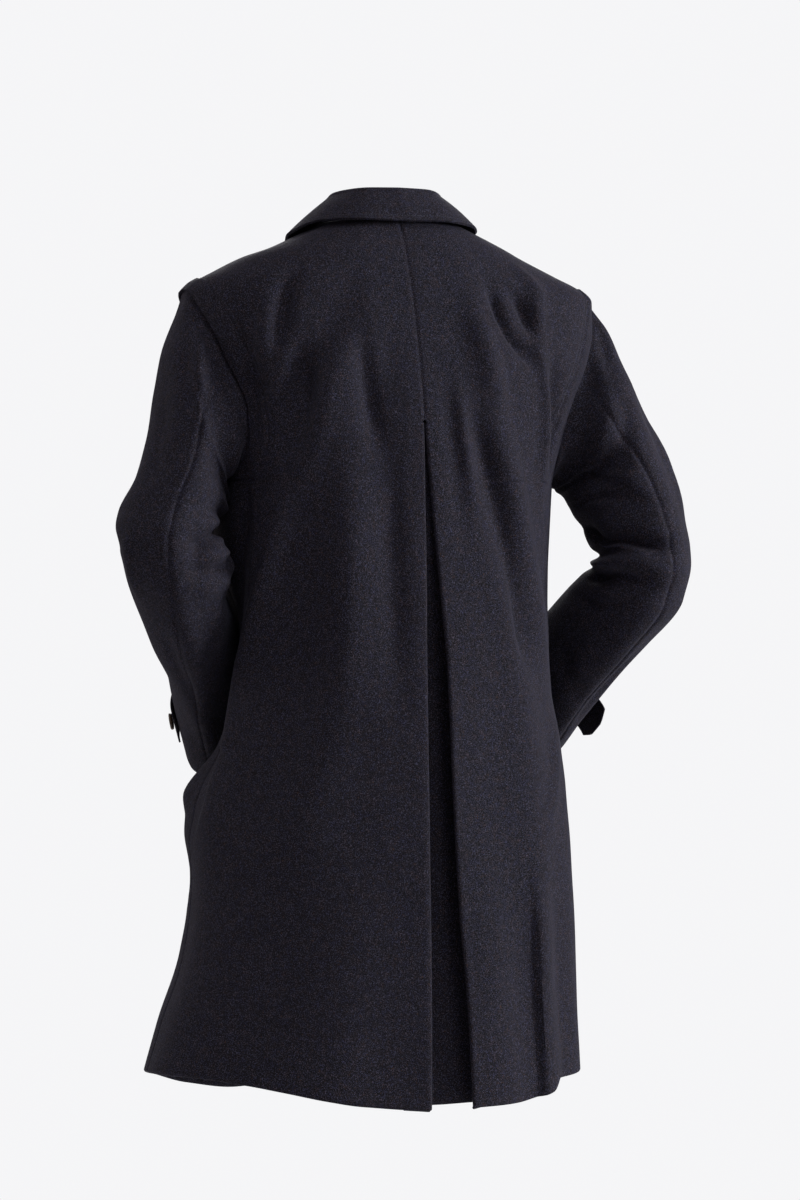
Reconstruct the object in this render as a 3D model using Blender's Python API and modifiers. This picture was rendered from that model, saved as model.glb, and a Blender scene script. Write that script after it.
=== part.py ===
"""Wool overcoat as it hangs on its wearer, both hands in the front pockets.

A long A-line coat: two back halves with an inverted centre-back pleat, two fronts that
lap and button, a turn-down collar, and two-piece sleeves whose heads slip under the
lapped armhole edges. Metres, +Z up. The wearer faces -Y and the wearer's left is +X.
The origin lies at the base of the neck, where the shoulders carry the coat.
"""
import bpy
import bmesh
import numpy as np
from math import pi, radians
from mathutils import Vector

COAT = "wool_overcoat"

# ------------------------------------------------------------------ driving sizes
WALL = 0.0024              # melton cloth
COLLAR_WALL = 0.0032       # collar, two layers pressed together
SEAM_GAP = 0.0003          # between sewn pieces
RIDGE_GAP = 0.0007         # the same at the outer face, where a seam stands as a ridge
LAP_GAP = 0.0016           # between an armhole edge and the sleeve head under it
SHOULDER_TIP = -0.0733     # height where the shoulder seam meets the armhole
UNDERARM = -0.305          # height of the lowest armhole point
TORSO_TOP = 0.013          # height of the topmost body section
NECK_HALF = 0.080          # half-width of the neck hole at the shoulder seams
NECK_BACK = 0.012          # height of the neck edge at the back and the shoulder seams
NECK_FRONT = -0.078        # height of the neck edge at the centre front
FRONT_LAP = 0.030          # each front reaches this far past the centre
LAP_DEPTH = 0.0036         # the right front lies this far under the left
PLEAT_TOP = -0.236         # the pleat is sewn shut above this height
FOLD_RADIUS = 0.0042       # outer radius of the pressed pleat edges
PLEAT_RETURN = 0.022       # cloth turned back behind a pleat edge
UNDERLAY_GAP = 0.0012      # between a return and the underlay it lies on
BUTTON_RADIUS = 0.0135
BUTTON_THICK = 0.0042
CUFF_BUTTON_RADIUS = 0.0105
BUTTON_GAP = 0.0011        # under a button, over the curve of the cloth
BUTTON_HEIGHTS = (-0.160, -0.300, -0.440, -0.580)
TAB_START = -74            # the cuff tabs: degrees round the sleeve where one is sewn in
TAB_SWEEP = 74             # degrees that it reaches round the sleeve
TAB_POINT = 9
TAB_GAP = 0.0008
TABS = {                   # middle and half-width in stations, and how far the end stands off
    "left": (12.35, 0.33, 0.0040),
    "right": (11.45, 0.46, 0.0260),
}
WELT_TOP = (0.152, -0.655) # outer top corner of a pocket welt: half-width and height
WELT_FOOT = (0.186, -0.800)
WELT_WIDTH = 0.036
WELT_GAP = 0.0026

NAVY = (0.0130, 0.0140, 0.0245)
HORN = (0.060, 0.036, 0.020)


class Table:
    """Rows of named columns, read smoothly and without overshoot by the first column."""

    def __init__(self, names, rows):
        self.names = names.split()
        values = np.array(sorted(rows), dtype=float)
        self.keys = values[:, 0]
        self.columns = {name: values[:, i] for i, name in enumerate(self.names)}
        self.slopes = {name: self.monotone_slopes(column) for name, column in self.columns.items()}

    def monotone_slopes(self, column):
        step = np.diff(self.keys)
        rise = np.diff(column) / step
        slopes = np.empty_like(column)
        slopes[0] = rise[0]
        slopes[-1] = rise[-1]
        before = rise[:-1]
        after = rise[1:]
        same_way = before * after > 0
        total = np.where(same_way, before + after, 1.0)
        slopes[1:-1] = np.where(same_way, 2.0 * before * after / total, 0.0)
        return slopes

    def read(self, name, key):
        key = np.clip(np.asarray(key, dtype=float), self.keys[0], self.keys[-1])
        row = np.clip(np.searchsorted(self.keys, key) - 1, 0, len(self.keys) - 2)
        column = self.columns[name]
        slopes = self.slopes[name]
        width = self.keys[row + 1] - self.keys[row]
        t = (key - self.keys[row]) / width
        start = column[row] * (1 + 2 * t) * (1 - t) ** 2
        start += slopes[row] * width * t * (1 - t) ** 2
        end = column[row + 1] * t * t * (3 - 2 * t)
        end += slopes[row + 1] * width * t * t * (t - 1)
        return start + end


# ------------------------------------------------------------------ body sections
# One row for each level: half-widths to the wearer's left and right, depths behind and
# before the origin, and how square the section is (2 is an ellipse).
TORSO = Table("height left right back front square", [
    (0.0130, 0.0780, 0.0780, 0.0840, 0.0450, 2.60),
    (0.0000, 0.1070, 0.1040, 0.0960, 0.0560, 2.70),
    (-0.0187, 0.1460, 0.1430, 0.1090, 0.0670, 2.65),
    (-0.0310, 0.1800, 0.1670, 0.1155, 0.0740, 2.55),
    (-0.0510, 0.2190, 0.2100, 0.1240, 0.0840, 2.45),
    (-0.0670, 0.2480, 0.2450, 0.1300, 0.0910, 2.35),
    (-0.0800, 0.2556, 0.2570, 0.1340, 0.0970, 2.35),
    (-0.1200, 0.2500, 0.2570, 0.1440, 0.1150, 2.30),
    (-0.1600, 0.2360, 0.2490, 0.1510, 0.1290, 2.30),
    (-0.2000, 0.2230, 0.2350, 0.1550, 0.1380, 2.30),
    (-0.2500, 0.2150, 0.2180, 0.1580, 0.1430, 2.30),
    (-0.3050, 0.2120, 0.2040, 0.1590, 0.1440, 2.30),
    (-0.3670, 0.2150, 0.2010, 0.1590, 0.1420, 2.30),
    (-0.4300, 0.2100, 0.1990, 0.1600, 0.1400, 2.30),
    (-0.5000, 0.2060, 0.2000, 0.1605, 0.1410, 2.30),
    (-0.5500, 0.2060, 0.2020, 0.1620, 0.1430, 2.35),
    (-0.6200, 0.2100, 0.2160, 0.1645, 0.1470, 2.40),
    (-0.6700, 0.2280, 0.2260, 0.1665, 0.1500, 2.40),
    (-0.7400, 0.2440, 0.2330, 0.1700, 0.1530, 2.40),
    (-0.8000, 0.2420, 0.2360, 0.1740, 0.1560, 2.40),
    (-0.8700, 0.2520, 0.2390, 0.1785, 0.1590, 2.40),
    (-0.9500, 0.2780, 0.2420, 0.1830, 0.1610, 2.40),
    (-1.0700, 0.3120, 0.2480, 0.1910, 0.1650, 2.40),
])

# The armhole edges: half-width of the back and front panels there, on each side.
ARMHOLE = Table("height back_left front_left back_right front_right", [
    (SHOULDER_TIP, 0.2525, 0.2525, 0.2525, 0.2525),
    (-0.0830, 0.2490, 0.2480, 0.2520, 0.2510),
    (-0.0980, 0.2420, 0.2390, 0.2510, 0.2460),
    (-0.1250, 0.2290, 0.2230, 0.2460, 0.2320),
    (-0.1610, 0.2143, 0.2050, 0.2350, 0.2120),
    (-0.1900, 0.2020, 0.1930, 0.2225, 0.1970),
    (-0.2200, 0.1935, 0.1880, 0.2110, 0.1880),
    (-0.2500, 0.1900, 0.1880, 0.2020, 0.1840),
    (-0.2750, 0.1930, 0.1930, 0.1965, 0.1870),
    (-0.2950, 0.2020, 0.2020, 0.1975, 0.1940),
    (UNDERARM, 0.2120, 0.2120, 0.2040, 0.2040),
])

# Height of the hem round the body, by turn from the centre back towards the left.
HEM = Table("turn height", [
    (-180, -1.0520), (-115, -1.0420), (-85, -1.0300), (-55, -1.0310), (-25, -1.0380),
    (0, -1.0380), (30, -1.0320), (52, -1.0150), (68, -1.0040), (90, -1.0140),
    (125, -1.0480), (180, -1.0560),
])

# The centre-back seam and the left pleat edge: how far they wander to the left.
CENTRE = Table("height across", [
    (0.013, 0.0085), (-0.045, 0.0060), (-0.135, 0.0010), (-0.240, -0.0040),
    (-0.500, -0.0070), (-0.800, -0.0075), (-1.070, -0.0040),
])

# How far the right pleat edge stands from the left one.
PLEAT = Table("height opening", [
    (PLEAT_TOP, 0.0002), (-0.290, 0.0045), (-0.360, 0.0105), (-0.455, 0.0190),
    (-0.520, 0.0250), (-0.600, 0.0280), (-0.685, 0.0305), (-0.810, 0.0355),
    (-0.900, 0.0430), (-1.070, 0.0530),
])

# Folds of the body: each runs from a top point to a bottom point, given by turn and
# height, with its half-width there in degrees of turn and how far it stands out.
FOLDS = [
    # name, top turn, top height, bottom turn, bottom height, top width, bottom width, rise
    ("left flare ridge", 50, -0.310, 70, -0.520, 8, 9, 0.0080),
    ("left lower ridge", 72, -0.560, 78, -1.080, 9, 10, 0.0050),
    ("left side valley", 80, -0.500, 90, -0.640, 10, 9, -0.0060),
    ("left forearm press", 92, -0.440, 124, -0.680, 17, 15, -0.0370),
    ("left pocket bulge", 108, -0.635, 105, -0.730, 12, 12, 0.0260),
    ("right flare corner", -38, -0.330, -52, -1.080, 9, 8, 0.0090),
    ("right side valley", -84, -0.640, -82, -1.090, 12, 13, -0.0180),
    ("right forearm press", -113, -0.450, -122, -0.640, 18, 16, -0.0280),
    ("right front corner", -114, -0.720, -116, -1.120, 14, 14, 0.0170),
    ("left blade trough", 32, -0.080, 52, -0.230, 7, 8, -0.0050),
    ("left blade ridge", 22, -0.110, 38, -0.300, 8, 10, 0.0045),
    ("left inner trough", 14, -0.130, 22, -0.330, 8, 8, -0.0035),
    ("right blade trough", -40, -0.060, -58, -0.200, 7, 7, -0.0065),
    ("right blade ridge", -28, -0.120, -34, -0.320, 7, 9, 0.0040),
]
FOLD_FADE = 0.07           # length over which a fold dies away at each end

# ------------------------------------------------------------------ sleeve sections
# One row for each station down the arm: the outer and the inner point of the section,
# the middle and half-depth front to back, how much higher its back is than its middle,
# and the place of the hind seam round the section.
SLEEVE_COLUMNS = "station out_x out_z in_x in_z mid_y half_y back_rise hind_seam"
SLEEVES = {
    "left": Table(SLEEVE_COLUMNS, [
        (0, 0.2554, -0.0735, 0.2125, -0.3047, 0.006, 0.082, 0.000, 80),
        (1, 0.2665, -0.1050, 0.2145, -0.3020, 0.010, 0.081, 0.003, 84),
        (2, 0.2785, -0.1450, 0.2165, -0.3045, 0.014, 0.078, 0.007, 88),
        (3, 0.2870, -0.1900, 0.2180, -0.3120, 0.020, 0.075, 0.011, 90),
        (4, 0.2980, -0.2400, 0.2190, -0.3230, 0.030, 0.071, 0.015, 90),
        (5, 0.3180, -0.2980, 0.2200, -0.3380, 0.044, 0.067, 0.017, 88),
        (6, 0.3400, -0.3380, 0.2205, -0.3580, 0.056, 0.064, 0.012, 84),
        (7, 0.3470, -0.3660, 0.2190, -0.3800, 0.066, 0.063, 0.000, 78),
        (8, 0.3370, -0.4050, 0.2130, -0.4040, 0.062, 0.062, -0.018, 74),
        (9, 0.3190, -0.4450, 0.2060, -0.4300, 0.042, 0.055, -0.030, 72),
        (10, 0.2930, -0.4920, 0.1960, -0.4660, 0.005, 0.049, -0.036, 70),
        (11, 0.2620, -0.5350, 0.1760, -0.5060, -0.047, 0.046, -0.037, 68),
        (12, 0.2410, -0.5800, 0.1580, -0.5520, -0.096, 0.045, -0.036, 66),
        (13, 0.2140, -0.6400, 0.1330, -0.6100, -0.150, 0.044, -0.035, 64),
    ]),
    "right": Table(SLEEVE_COLUMNS, [
        (0, 0.2525, -0.0735, 0.2045, -0.3047, 0.006, 0.082, 0.000, 80),
        (1, 0.2720, -0.1050, 0.2080, -0.3020, 0.010, 0.081, 0.003, 84),
        (2, 0.2890, -0.1500, 0.2130, -0.3045, 0.015, 0.078, 0.007, 88),
        (3, 0.3110, -0.1960, 0.2190, -0.3110, 0.022, 0.075, 0.012, 90),
        (4, 0.3330, -0.2450, 0.2270, -0.3220, 0.032, 0.071, 0.016, 88),
        (5, 0.3510, -0.3000, 0.2360, -0.3400, 0.046, 0.067, 0.018, 86),
        (6, 0.3610, -0.3500, 0.2440, -0.3660, 0.060, 0.064, 0.012, 82),
        (7, 0.3670, -0.3920, 0.2480, -0.3920, 0.068, 0.064, 0.000, 78),
        (8, 0.3600, -0.4340, 0.2420, -0.4180, 0.058, 0.062, -0.020, 76),
        (9, 0.3280, -0.4820, 0.2290, -0.4460, 0.028, 0.054, -0.030, 76),
        (10, 0.2990, -0.5260, 0.2090, -0.4840, -0.012, 0.048, -0.035, 76),
        (11, 0.2770, -0.5700, 0.1900, -0.5260, -0.056, 0.046, -0.036, 76),
        (12, 0.2610, -0.6080, 0.1770, -0.5660, -0.096, 0.045, -0.035, 76),
        (13, 0.2370, -0.6480, 0.1580, -0.6060, -0.136, 0.044, -0.034, 76),
    ]),
}
SLEEVE_SQUARE = 2.2        # squareness of a sleeve's section
FORE_SEAM = -82            # place of the front sleeve seam round the section, degrees
CUFF_STATION = 13

# Creases of the sleeves: station and angle of the middle, half-widths, and depth.
SLEEVE_CREASES = {
    "left": [
        # station, angle, half-stations, half-angle, rise
        (6.7, 165, 0.28, 75, -0.0065),
        (7.6, 160, 0.30, 70, -0.0050),
        (5.4, 170, 0.35, 60, -0.0050),
        (3.2, 150, 0.60, 45, -0.0040),
        (7.1, 170, 0.22, 60, 0.0040),
    ],
    "right": [
        (6.9, 165, 0.26, 85, -0.0100),
        (7.8, 165, 0.28, 80, -0.0080),
        (5.3, 170, 0.35, 60, -0.0040),
        (3.6, 160, 0.45, 50, -0.0050),
        (7.35, 165, 0.22, 75, 0.0040),
    ],
}

# ------------------------------------------------------------------ collar sections
# The collar by turn from the centre back: the line it rolls over and its outer edge.
COLLAR = Table("turn roll_x roll_y roll_z edge_x edge_y edge_z", [
    (0, 0.0000, 0.0700, 0.0500, 0.0000, 0.1050, 0.0070),
    (30, 0.0360, 0.0610, 0.0500, 0.0530, 0.0980, 0.0085),
    (60, 0.0560, 0.0350, 0.0495, 0.0960, 0.0640, 0.0085),
    (80, 0.0640, 0.0080, 0.0480, 0.1130, 0.0180, 0.0030),
    (100, 0.0640, -0.0150, 0.0430, 0.1150, -0.0220, 0.0010),
    (125, 0.0550, -0.0480, 0.0200, 0.1030, -0.0760, -0.0260),
    (150, 0.0340, -0.0770, -0.0180, 0.0830, -0.1030, -0.0740),
    (172, 0.0130, -0.0930, -0.0520, 0.0600, -0.1270, -0.1240),
])
COLLAR_END = 172           # the collar stops short of the centre front on each side
NECK_GAP = 0.0012          # between the neck edge and the foot of the stand
COLLAR_ROLL = 0.0070       # radius of the roll
COLLAR_SHIFT = 0.0025      # it sits a little to the wearer's left


# ------------------------------------------------------------------ body surface
def bump(distance, width):
    """A soft ridge profile: 1 on the line, 0 far from it."""
    return np.exp(-(distance / width) ** 2)


def fade(value, start, end):
    """0 at start, 1 at end, smooth between."""
    t = np.clip((value - start) / (end - start), 0.0, 1.0)
    return t * t * (3 - 2 * t)


def fold_rise(turn, height):
    """How far the folds push the cloth out at a place on the body."""
    rise = np.zeros(np.broadcast(turn, height).shape)
    for name, turn_a, high, turn_b, low, wide_a, wide_b, out in FOLDS:
        along = np.clip((high - height) / (high - low), 0.0, 1.0)
        middle = turn_a + (turn_b - turn_a) * along
        width = wide_a + (wide_b - wide_a) * along
        ends = fade(height, high + FOLD_FADE, high - FOLD_FADE)
        ends = ends * fade(height, low - FOLD_FADE, low + FOLD_FADE)
        rise = rise + out * bump(turn - middle, width) * ends
    return rise


def body(turn, height):
    """Points of the coat's outer face: turn in degrees from the centre back."""
    turn = np.asarray(turn, dtype=float)
    height = np.asarray(height, dtype=float)
    angle = np.radians(turn)
    wide = np.where(turn > 0, TORSO.read("left", height), TORSO.read("right", height))
    behind = np.cos(angle) > 0
    deep = np.where(behind, TORSO.read("back", height), TORSO.read("front", height))
    square = TORSO.read("square", height)
    across = np.abs(np.sin(angle)) / wide
    along = np.abs(np.cos(angle)) / deep
    radius = (across ** square + along ** square) ** (-1.0 / square)
    radius = radius + fold_rise(turn, height)
    return np.stack([radius * np.sin(angle), radius * np.cos(angle), height], axis=-1)


def body_at(turn, height, depth=0.0):
    """Points at a depth below the outer face, along its normal."""
    points = body(turn, height)
    if np.all(np.asarray(depth) == 0):
        return points
    step_turn = 0.5
    step_height = 0.0008
    round_way = body(turn + step_turn, height) - body(turn - step_turn, height)
    up_way = body(turn, height + step_height) - body(turn, height - step_height)
    normal = np.cross(up_way, round_way)
    normal = normal / np.linalg.norm(normal, axis=-1, keepdims=True)
    return points - normal * np.asarray(depth)[..., None]


def side_name(side):
    return "left" if side > 0 else "right"


def half_width(x, height):
    """The body section's half-width on the side that x lies on."""
    return np.where(x > 0, TORSO.read("left", height), TORSO.read("right", height))


def turn_of(x, behind, height):
    """Turn of the body point that lies at x, behind or before the shoulder seams."""
    x = np.asarray(x, dtype=float)
    deep = TORSO.read("back" if behind else "front", height)
    square = TORSO.read("square", height)
    share = np.clip(np.abs(x) / half_width(x, height), 0.0, 1.0)
    y = np.maximum(deep * (1 - share ** square) ** (1 / square), RIDGE_GAP / 2)
    return np.degrees(np.arctan2(x, y if behind else -y))


def shoulder_height(side, x):
    """Height of the shoulder seam at a half-width x, found by halving."""
    high = np.full(np.shape(x), TORSO_TOP)
    low = np.full(np.shape(x), SHOULDER_TIP - 0.003)
    for _ in range(44):
        middle = (high + low) / 2
        narrow = TORSO.read(side_name(side), middle) < x
        high = np.where(narrow, middle, high)
        low = np.where(narrow, low, middle)
    return low


def top_height(side, behind, x):
    """Height of a panel's top edge: the neck edge, then the shoulder seam."""
    seam = shoulder_height(side, np.maximum(np.abs(x), NECK_HALF))
    if behind:
        return seam
    drop = (seam - NECK_FRONT) * (1 - np.clip(np.abs(x) / NECK_HALF, 0, 1) ** 2)
    return seam - drop


# ------------------------------------------------------------------ body panels
UPPER_ROWS = 15            # rows between the top edge and the underarm, closer at both
LOWER_ROWS = 14            # rows between the underarm and the hem
PANEL_COLUMNS = 13
SIDE_CELL = 0.9999         # where the last column before the side seam stands


def last_column(narrow, before):
    """Where the last column before the edge stands: 1 is hard beside a side seam."""
    return max(0.9945 + (SIDE_CELL - 0.9945) * narrow, before + 0.002)


def back_columns(span, narrow):
    """Distances of a back panel's columns from its inner edge; narrow beside a seam."""
    shares = np.sin(np.linspace(0, pi / 2, PANEL_COLUMNS))
    last = last_column(narrow, shares[-2])
    return span * np.concatenate([[0.0, 0.02], shares[1:-1], [last, 1.0]])


def front_columns(span, narrow):
    """The same for a front, with columns at set distances where the fronts lap."""
    near = np.array([0.0, 0.004, 0.017, 0.032, 0.048, 0.064, 0.083])
    shares = np.sin(np.linspace(0, pi / 2, PANEL_COLUMNS - 5))
    last = last_column(narrow, shares[-2])
    shares = np.concatenate([0 * near, shares[1:-1], [last, 1.0]])
    start = np.concatenate([near, np.full(len(shares) - len(near), near[-1])])
    return start + (span - near[-1]) * shares


def armhole_edge(side, behind, height):
    return side * ARMHOLE.read(("back_" if behind else "front_") + side_name(side), height)


def panel_places(side, behind, columns, inner_edge):
    """Places across and heights of a panel's grid, from its top edge down to its hem."""
    tip = armhole_edge(side, behind, SHOULDER_TIP)
    inner = inner_edge(NECK_BACK)
    top = top_height(side, behind, inner + side * columns(abs(tip - inner), 0.0))
    places_x = []
    places_z = []

    def add_row(heights, edge, narrow):
        inner = inner_edge(heights)
        places_x.append(inner + side * columns(np.abs(edge - inner), narrow))
        places_z.append(heights)

    for row in range(UPPER_ROWS + 1):
        level = (1 - np.cos(pi * row / UPPER_ROWS)) / 2
        heights = top * (1 - level) + UNDERARM * level
        add_row(heights, armhole_edge(side, behind, heights[-1]), 0.0)
    for row in range(1, LOWER_ROWS + 1):
        level = row / LOWER_ROWS
        hem = HEM.read("height", turn_of(places_x[-1], behind, -1.04))
        heights = UNDERARM * (1 - level) + hem * level
        add_row(heights, side * half_width(side, heights), min(1.0, row / 2))
    return np.array(places_x), np.array(places_z)


def is_sewn(heights):
    """Whether the centre back is sewn shut at these heights."""
    return heights > PLEAT_TOP + 0.0001


def fold_line(side, heights):
    """Where a back half ends: at the centre seam, or at its pressed pleat edge."""
    opening = 0.0 if side > 0 else PLEAT.read("opening", heights)
    return CENTRE.read("across", heights) + side * SEAM_GAP / 2 - opening


def back_inner_edge(side):
    """Where the flat of a back half begins: beside the seam, or past the pleat fold."""
    def edge(heights):
        fold = np.where(is_sewn(heights), 0.0, FOLD_RADIUS)
        return fold_line(side, heights) + side * fold
    return edge


def back_panel(side):
    """Grid of a back half, with the pressed fold and the return as extra columns."""
    places_x, places_z = panel_places(side, True, back_columns, back_inner_edge(side))
    panel = body_at(turn_of(places_x, True, places_z), places_z)
    arc = np.radians([180, 135, 90, 45])
    steps = np.concatenate([[FOLD_RADIUS + PLEAT_RETURN], FOLD_RADIUS * (1 - np.sin(arc))])
    depths = np.concatenate([[2 * FOLD_RADIUS], FOLD_RADIUS * (1 - np.cos(arc))])
    heights = places_z[:, :1] + 0 * steps
    fold_x = fold_line(side, heights) + side * steps
    fold = body_at(turn_of(fold_x, True, heights), heights, depths + 0 * fold_x)
    grid = np.concatenate([fold, panel], axis=1)
    keep = np.ones((grid.shape[0] - 1, grid.shape[1] - 1), dtype=bool)
    keep[is_sewn(places_z[:-1, 0]), :len(steps)] = False
    return grid, keep


def front_panel(side):
    """Grid of a front; the right one sinks under the left where they lap."""
    inner = -side * FRONT_LAP
    places_x, places_z = panel_places(side, False, front_columns, lambda z: inner + 0 * z)
    turns = turn_of(places_x, False, places_z)
    under = fade(places_x, -FRONT_LAP - 0.022, -FRONT_LAP - 0.004) if side < 0 else 0.0
    grid = body_at(turns, places_z, LAP_DEPTH * under + 1e-9 * places_x)
    return grid, np.ones((grid.shape[0] - 1, grid.shape[1] - 1), dtype=bool)


def pleat_underlay():
    """Grid of the cloth that closes the pleat behind its two edges."""
    heights = np.linspace(PLEAT_TOP + 0.012, -1.034, LOWER_ROWS + 2)[:, None]
    reach = FOLD_RADIUS + PLEAT_RETURN
    left = fold_line(1, heights) + reach
    right = fold_line(-1, heights) - reach
    x = right + (left - right) * np.linspace(0, 1, 6)
    z = heights + 0 * x
    depth = 2 * FOLD_RADIUS + UNDERLAY_GAP + 0 * x
    grid = body_at(turn_of(x, True, z), z, depth)
    return grid, np.ones((grid.shape[0] - 1, grid.shape[1] - 1), dtype=bool)


# ------------------------------------------------------------------ sleeves
def sleeve_tube(side, angle, station):
    """Points of a sleeve's outer face before it joins the armhole; left is side 1."""
    name = side_name(side)
    table = SLEEVES[name]
    read = {column: table.read(column, station) for column in table.names}
    turn = np.radians(angle)
    rim = (np.abs(np.cos(turn)) ** SLEEVE_SQUARE + np.abs(np.sin(turn)) ** SLEEVE_SQUARE)
    rim = rim ** (-1 / SLEEVE_SQUARE)
    crease = np.zeros(np.broadcast(turn, station).shape)
    for at, middle, half_station, half_angle, out in SLEEVE_CREASES[name]:
        apart = (angle - middle + 180) % 360 - 180
        crease = crease + out * bump(station - at, half_station) * bump(apart, half_angle)
    swell = rim * (1 + crease / 0.06)
    c = swell * np.cos(turn)
    s = swell * np.sin(turn)
    mid_x = (read["out_x"] + read["in_x"]) / 2
    mid_z = (read["out_z"] + read["in_z"]) / 2
    x = mid_x + c * (read["out_x"] - read["in_x"]) / 2
    y = read["mid_y"] + s * read["half_y"]
    z = mid_z + c * (read["out_z"] - read["in_z"]) / 2 + s * read["back_rise"]
    return np.stack(np.broadcast_arrays(side * x, y, z), axis=-1)


def armhole_loop(side, angle, tuck, depth):
    """Points round an armhole: tucked under the body edge, at a depth below its face."""
    angle = (np.asarray(angle, dtype=float) + 180) % 360 - 180
    middle = (SHOULDER_TIP + UNDERARM) / 2
    half = (SHOULDER_TIP - UNDERARM) / 2
    height = middle + half * np.cos(np.radians(angle))
    centre = np.array([side * 0.215, 0.005, middle])
    loop = np.zeros(angle.shape + (3,))
    for behind in (True, False):
        chosen = angle >= 0 if behind else angle < 0
        turn = turn_of(armhole_edge(side, behind, height), behind, height)
        edge = body_at(turn, height)
        under = body_at(turn, height, depth + 1e-9)
        normal = body_at(turn, height, -1.0 + 0 * height) - edge
        away = edge - centre
        away = away - normal * np.sum(away * normal, axis=-1, keepdims=True)
        away = away / np.linalg.norm(away, axis=-1, keepdims=True)
        loop = np.where(chosen[..., None], under + away * tuck[..., None], loop)
    return loop


def sleeve_head(side, angle, inner):
    """The sleeve's first two rings: slipped under the lap, edge to edge at the underarm."""
    low = np.abs((np.asarray(angle, dtype=float) + 180) % 360 - 180)
    butted = fade(low, 105, 125)
    if inner:
        tuck = 0.0040 * (1 - butted) - 0.0014 * butted
    else:
        tuck = -0.0014 * (1 - butted) - 0.0040 * butted
    depth = (WALL + LAP_GAP) * (1 - fade(low, 128, 150))
    return armhole_loop(side, angle, tuck, depth)


def sleeve_grid(side, upper, columns):
    """Grid of an upper or under sleeve, from its head to its cuff."""
    stations = np.concatenate([
        [0.35, 0.8], np.arange(1.4, 6.0, 0.75), np.arange(6.1, 8.6, 0.4), np.arange(9.2, 12.9, 0.95),
        [CUFF_STATION - 0.15, CUFF_STATION]])
    shares = np.linspace(0, 1, columns)
    shares = np.concatenate([[0.0, 0.02], shares[1:-1], [0.98, 1.0]])
    rows = []
    for station in np.concatenate([[0.0, 0.0], stations]):
        hind = SLEEVES[side_name(side)].read("hind_seam", station)
        gap = np.degrees(SEAM_GAP * 0.6 / 0.055)
        if upper:
            angle = FORE_SEAM + gap + (hind - FORE_SEAM - 2 * gap) * shares
        else:
            angle = hind + gap + (360 + FORE_SEAM - hind - 2 * gap) * shares
        rows.append(angle)
    angles = np.array(rows)
    grid = [sleeve_head(side, angles[0], True), sleeve_head(side, angles[1], False)]
    for angle, station in zip(angles[2:], stations):
        offset = sleeve_head(side, angle, False) - sleeve_tube(side, angle, 0.0)
        grid.append(sleeve_tube(side, angle, station) + offset * (1 - fade(station, 0.0, 2.6)))
    grid = np.array(grid)
    return grid, np.ones((grid.shape[0] - 1, grid.shape[1] - 1), dtype=bool)


# ------------------------------------------------------------------ collar
def collar_grid():
    """Grid of the collar: up the stand, over the roll and down the fall."""
    turns = np.concatenate([[-COLLAR_END], np.linspace(-COLLAR_END + 4, COLLAR_END - 4, 31), [COLLAR_END]])
    side = np.sign(turns)
    size = np.abs(turns)
    neck_x = NECK_HALF * np.sin(np.radians(np.minimum(size, 180 - size)))
    neck = []
    for s, t, x in zip(side, size, neck_x):
        behind = t <= 90
        way = 1 if s >= 0 else -1
        height = top_height(way, behind, x)
        turn = turn_of(way * x, behind, height)
        neck.append(body_at(turn, height) + np.array([0, 0, NECK_GAP]))
    neck = np.array(neck)
    roll = np.stack([COLLAR_SHIFT + side * COLLAR.read("roll_x", size), COLLAR.read("roll_y", size),
                     COLLAR.read("roll_z", size)], axis=-1)
    edge = np.stack([COLLAR_SHIFT + side * COLLAR.read("edge_x", size), COLLAR.read("edge_y", size),
                     COLLAR.read("edge_z", size)], axis=-1)
    return neck, roll, edge


def collar_rows(neck, roll, edge):
    """Rows of the collar: the stand, the roll as part of a circle, and the fall."""
    along = np.gradient(roll, axis=0)
    along = along / np.linalg.norm(along, axis=-1, keepdims=True)
    out = edge - roll
    out[:, 2] = 0
    out = out - along * np.sum(out * along, axis=-1, keepdims=True)
    out = out / np.linalg.norm(out, axis=-1, keepdims=True)
    up = np.cross(out, along)
    up = up * np.sign(up[:, 2:])

    def on_roll(degrees):
        angle = radians(degrees)
        return roll + COLLAR_ROLL * (out * np.cos(angle) + up * (np.sin(angle) - 1))

    rows = [neck, neck * 0.5 + on_roll(205) * 0.5]
    rows += [on_roll(degrees) for degrees in (205, 168, 131, 94, 57, 20)]
    for share in (0.25, 0.5, 0.78, 1.0):
        sag = up * 0.002 * np.sin(pi * share)
        rows.append(on_roll(20) * (1 - share) + edge * share + sag)
    return np.array(rows)


# ------------------------------------------------------------------ small pieces
def cuff_tab(side):
    """Grid of a blunt-pointed strap round the outer side of a cuff, off the sleeve."""
    middle_station, half_stations, spring = TABS[side_name(side)]
    length = np.array([0.0, 0.14, 0.28, 0.42, 0.56, 0.70, 0.84, 1.0])[:, None]
    across = np.array([-1.0, -0.45, 0.45, 1.0])[None, :]
    point = np.where((length == 1.0) & (np.abs(across) < 1), TAB_POINT, 0.0)
    angle = TAB_START + TAB_SWEEP * length + point
    station = middle_station + half_stations * across + 0 * angle
    face = sleeve_tube(side, angle, station)
    out = face - sleeve_middle(side, station)
    out = out / np.linalg.norm(out, axis=-1, keepdims=True)
    lift = WALL + TAB_GAP + spring * fade(length, 0.35, 1.0) + 0 * angle
    return face + out * lift[..., None]


def sleeve_middle(side, station):
    """Middle of a sleeve's section."""
    faces = [sleeve_tube(side, np.full(np.shape(station), angle), station) for angle in (0, 90, 180, 270)]
    return sum(faces) / len(faces)


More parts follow.
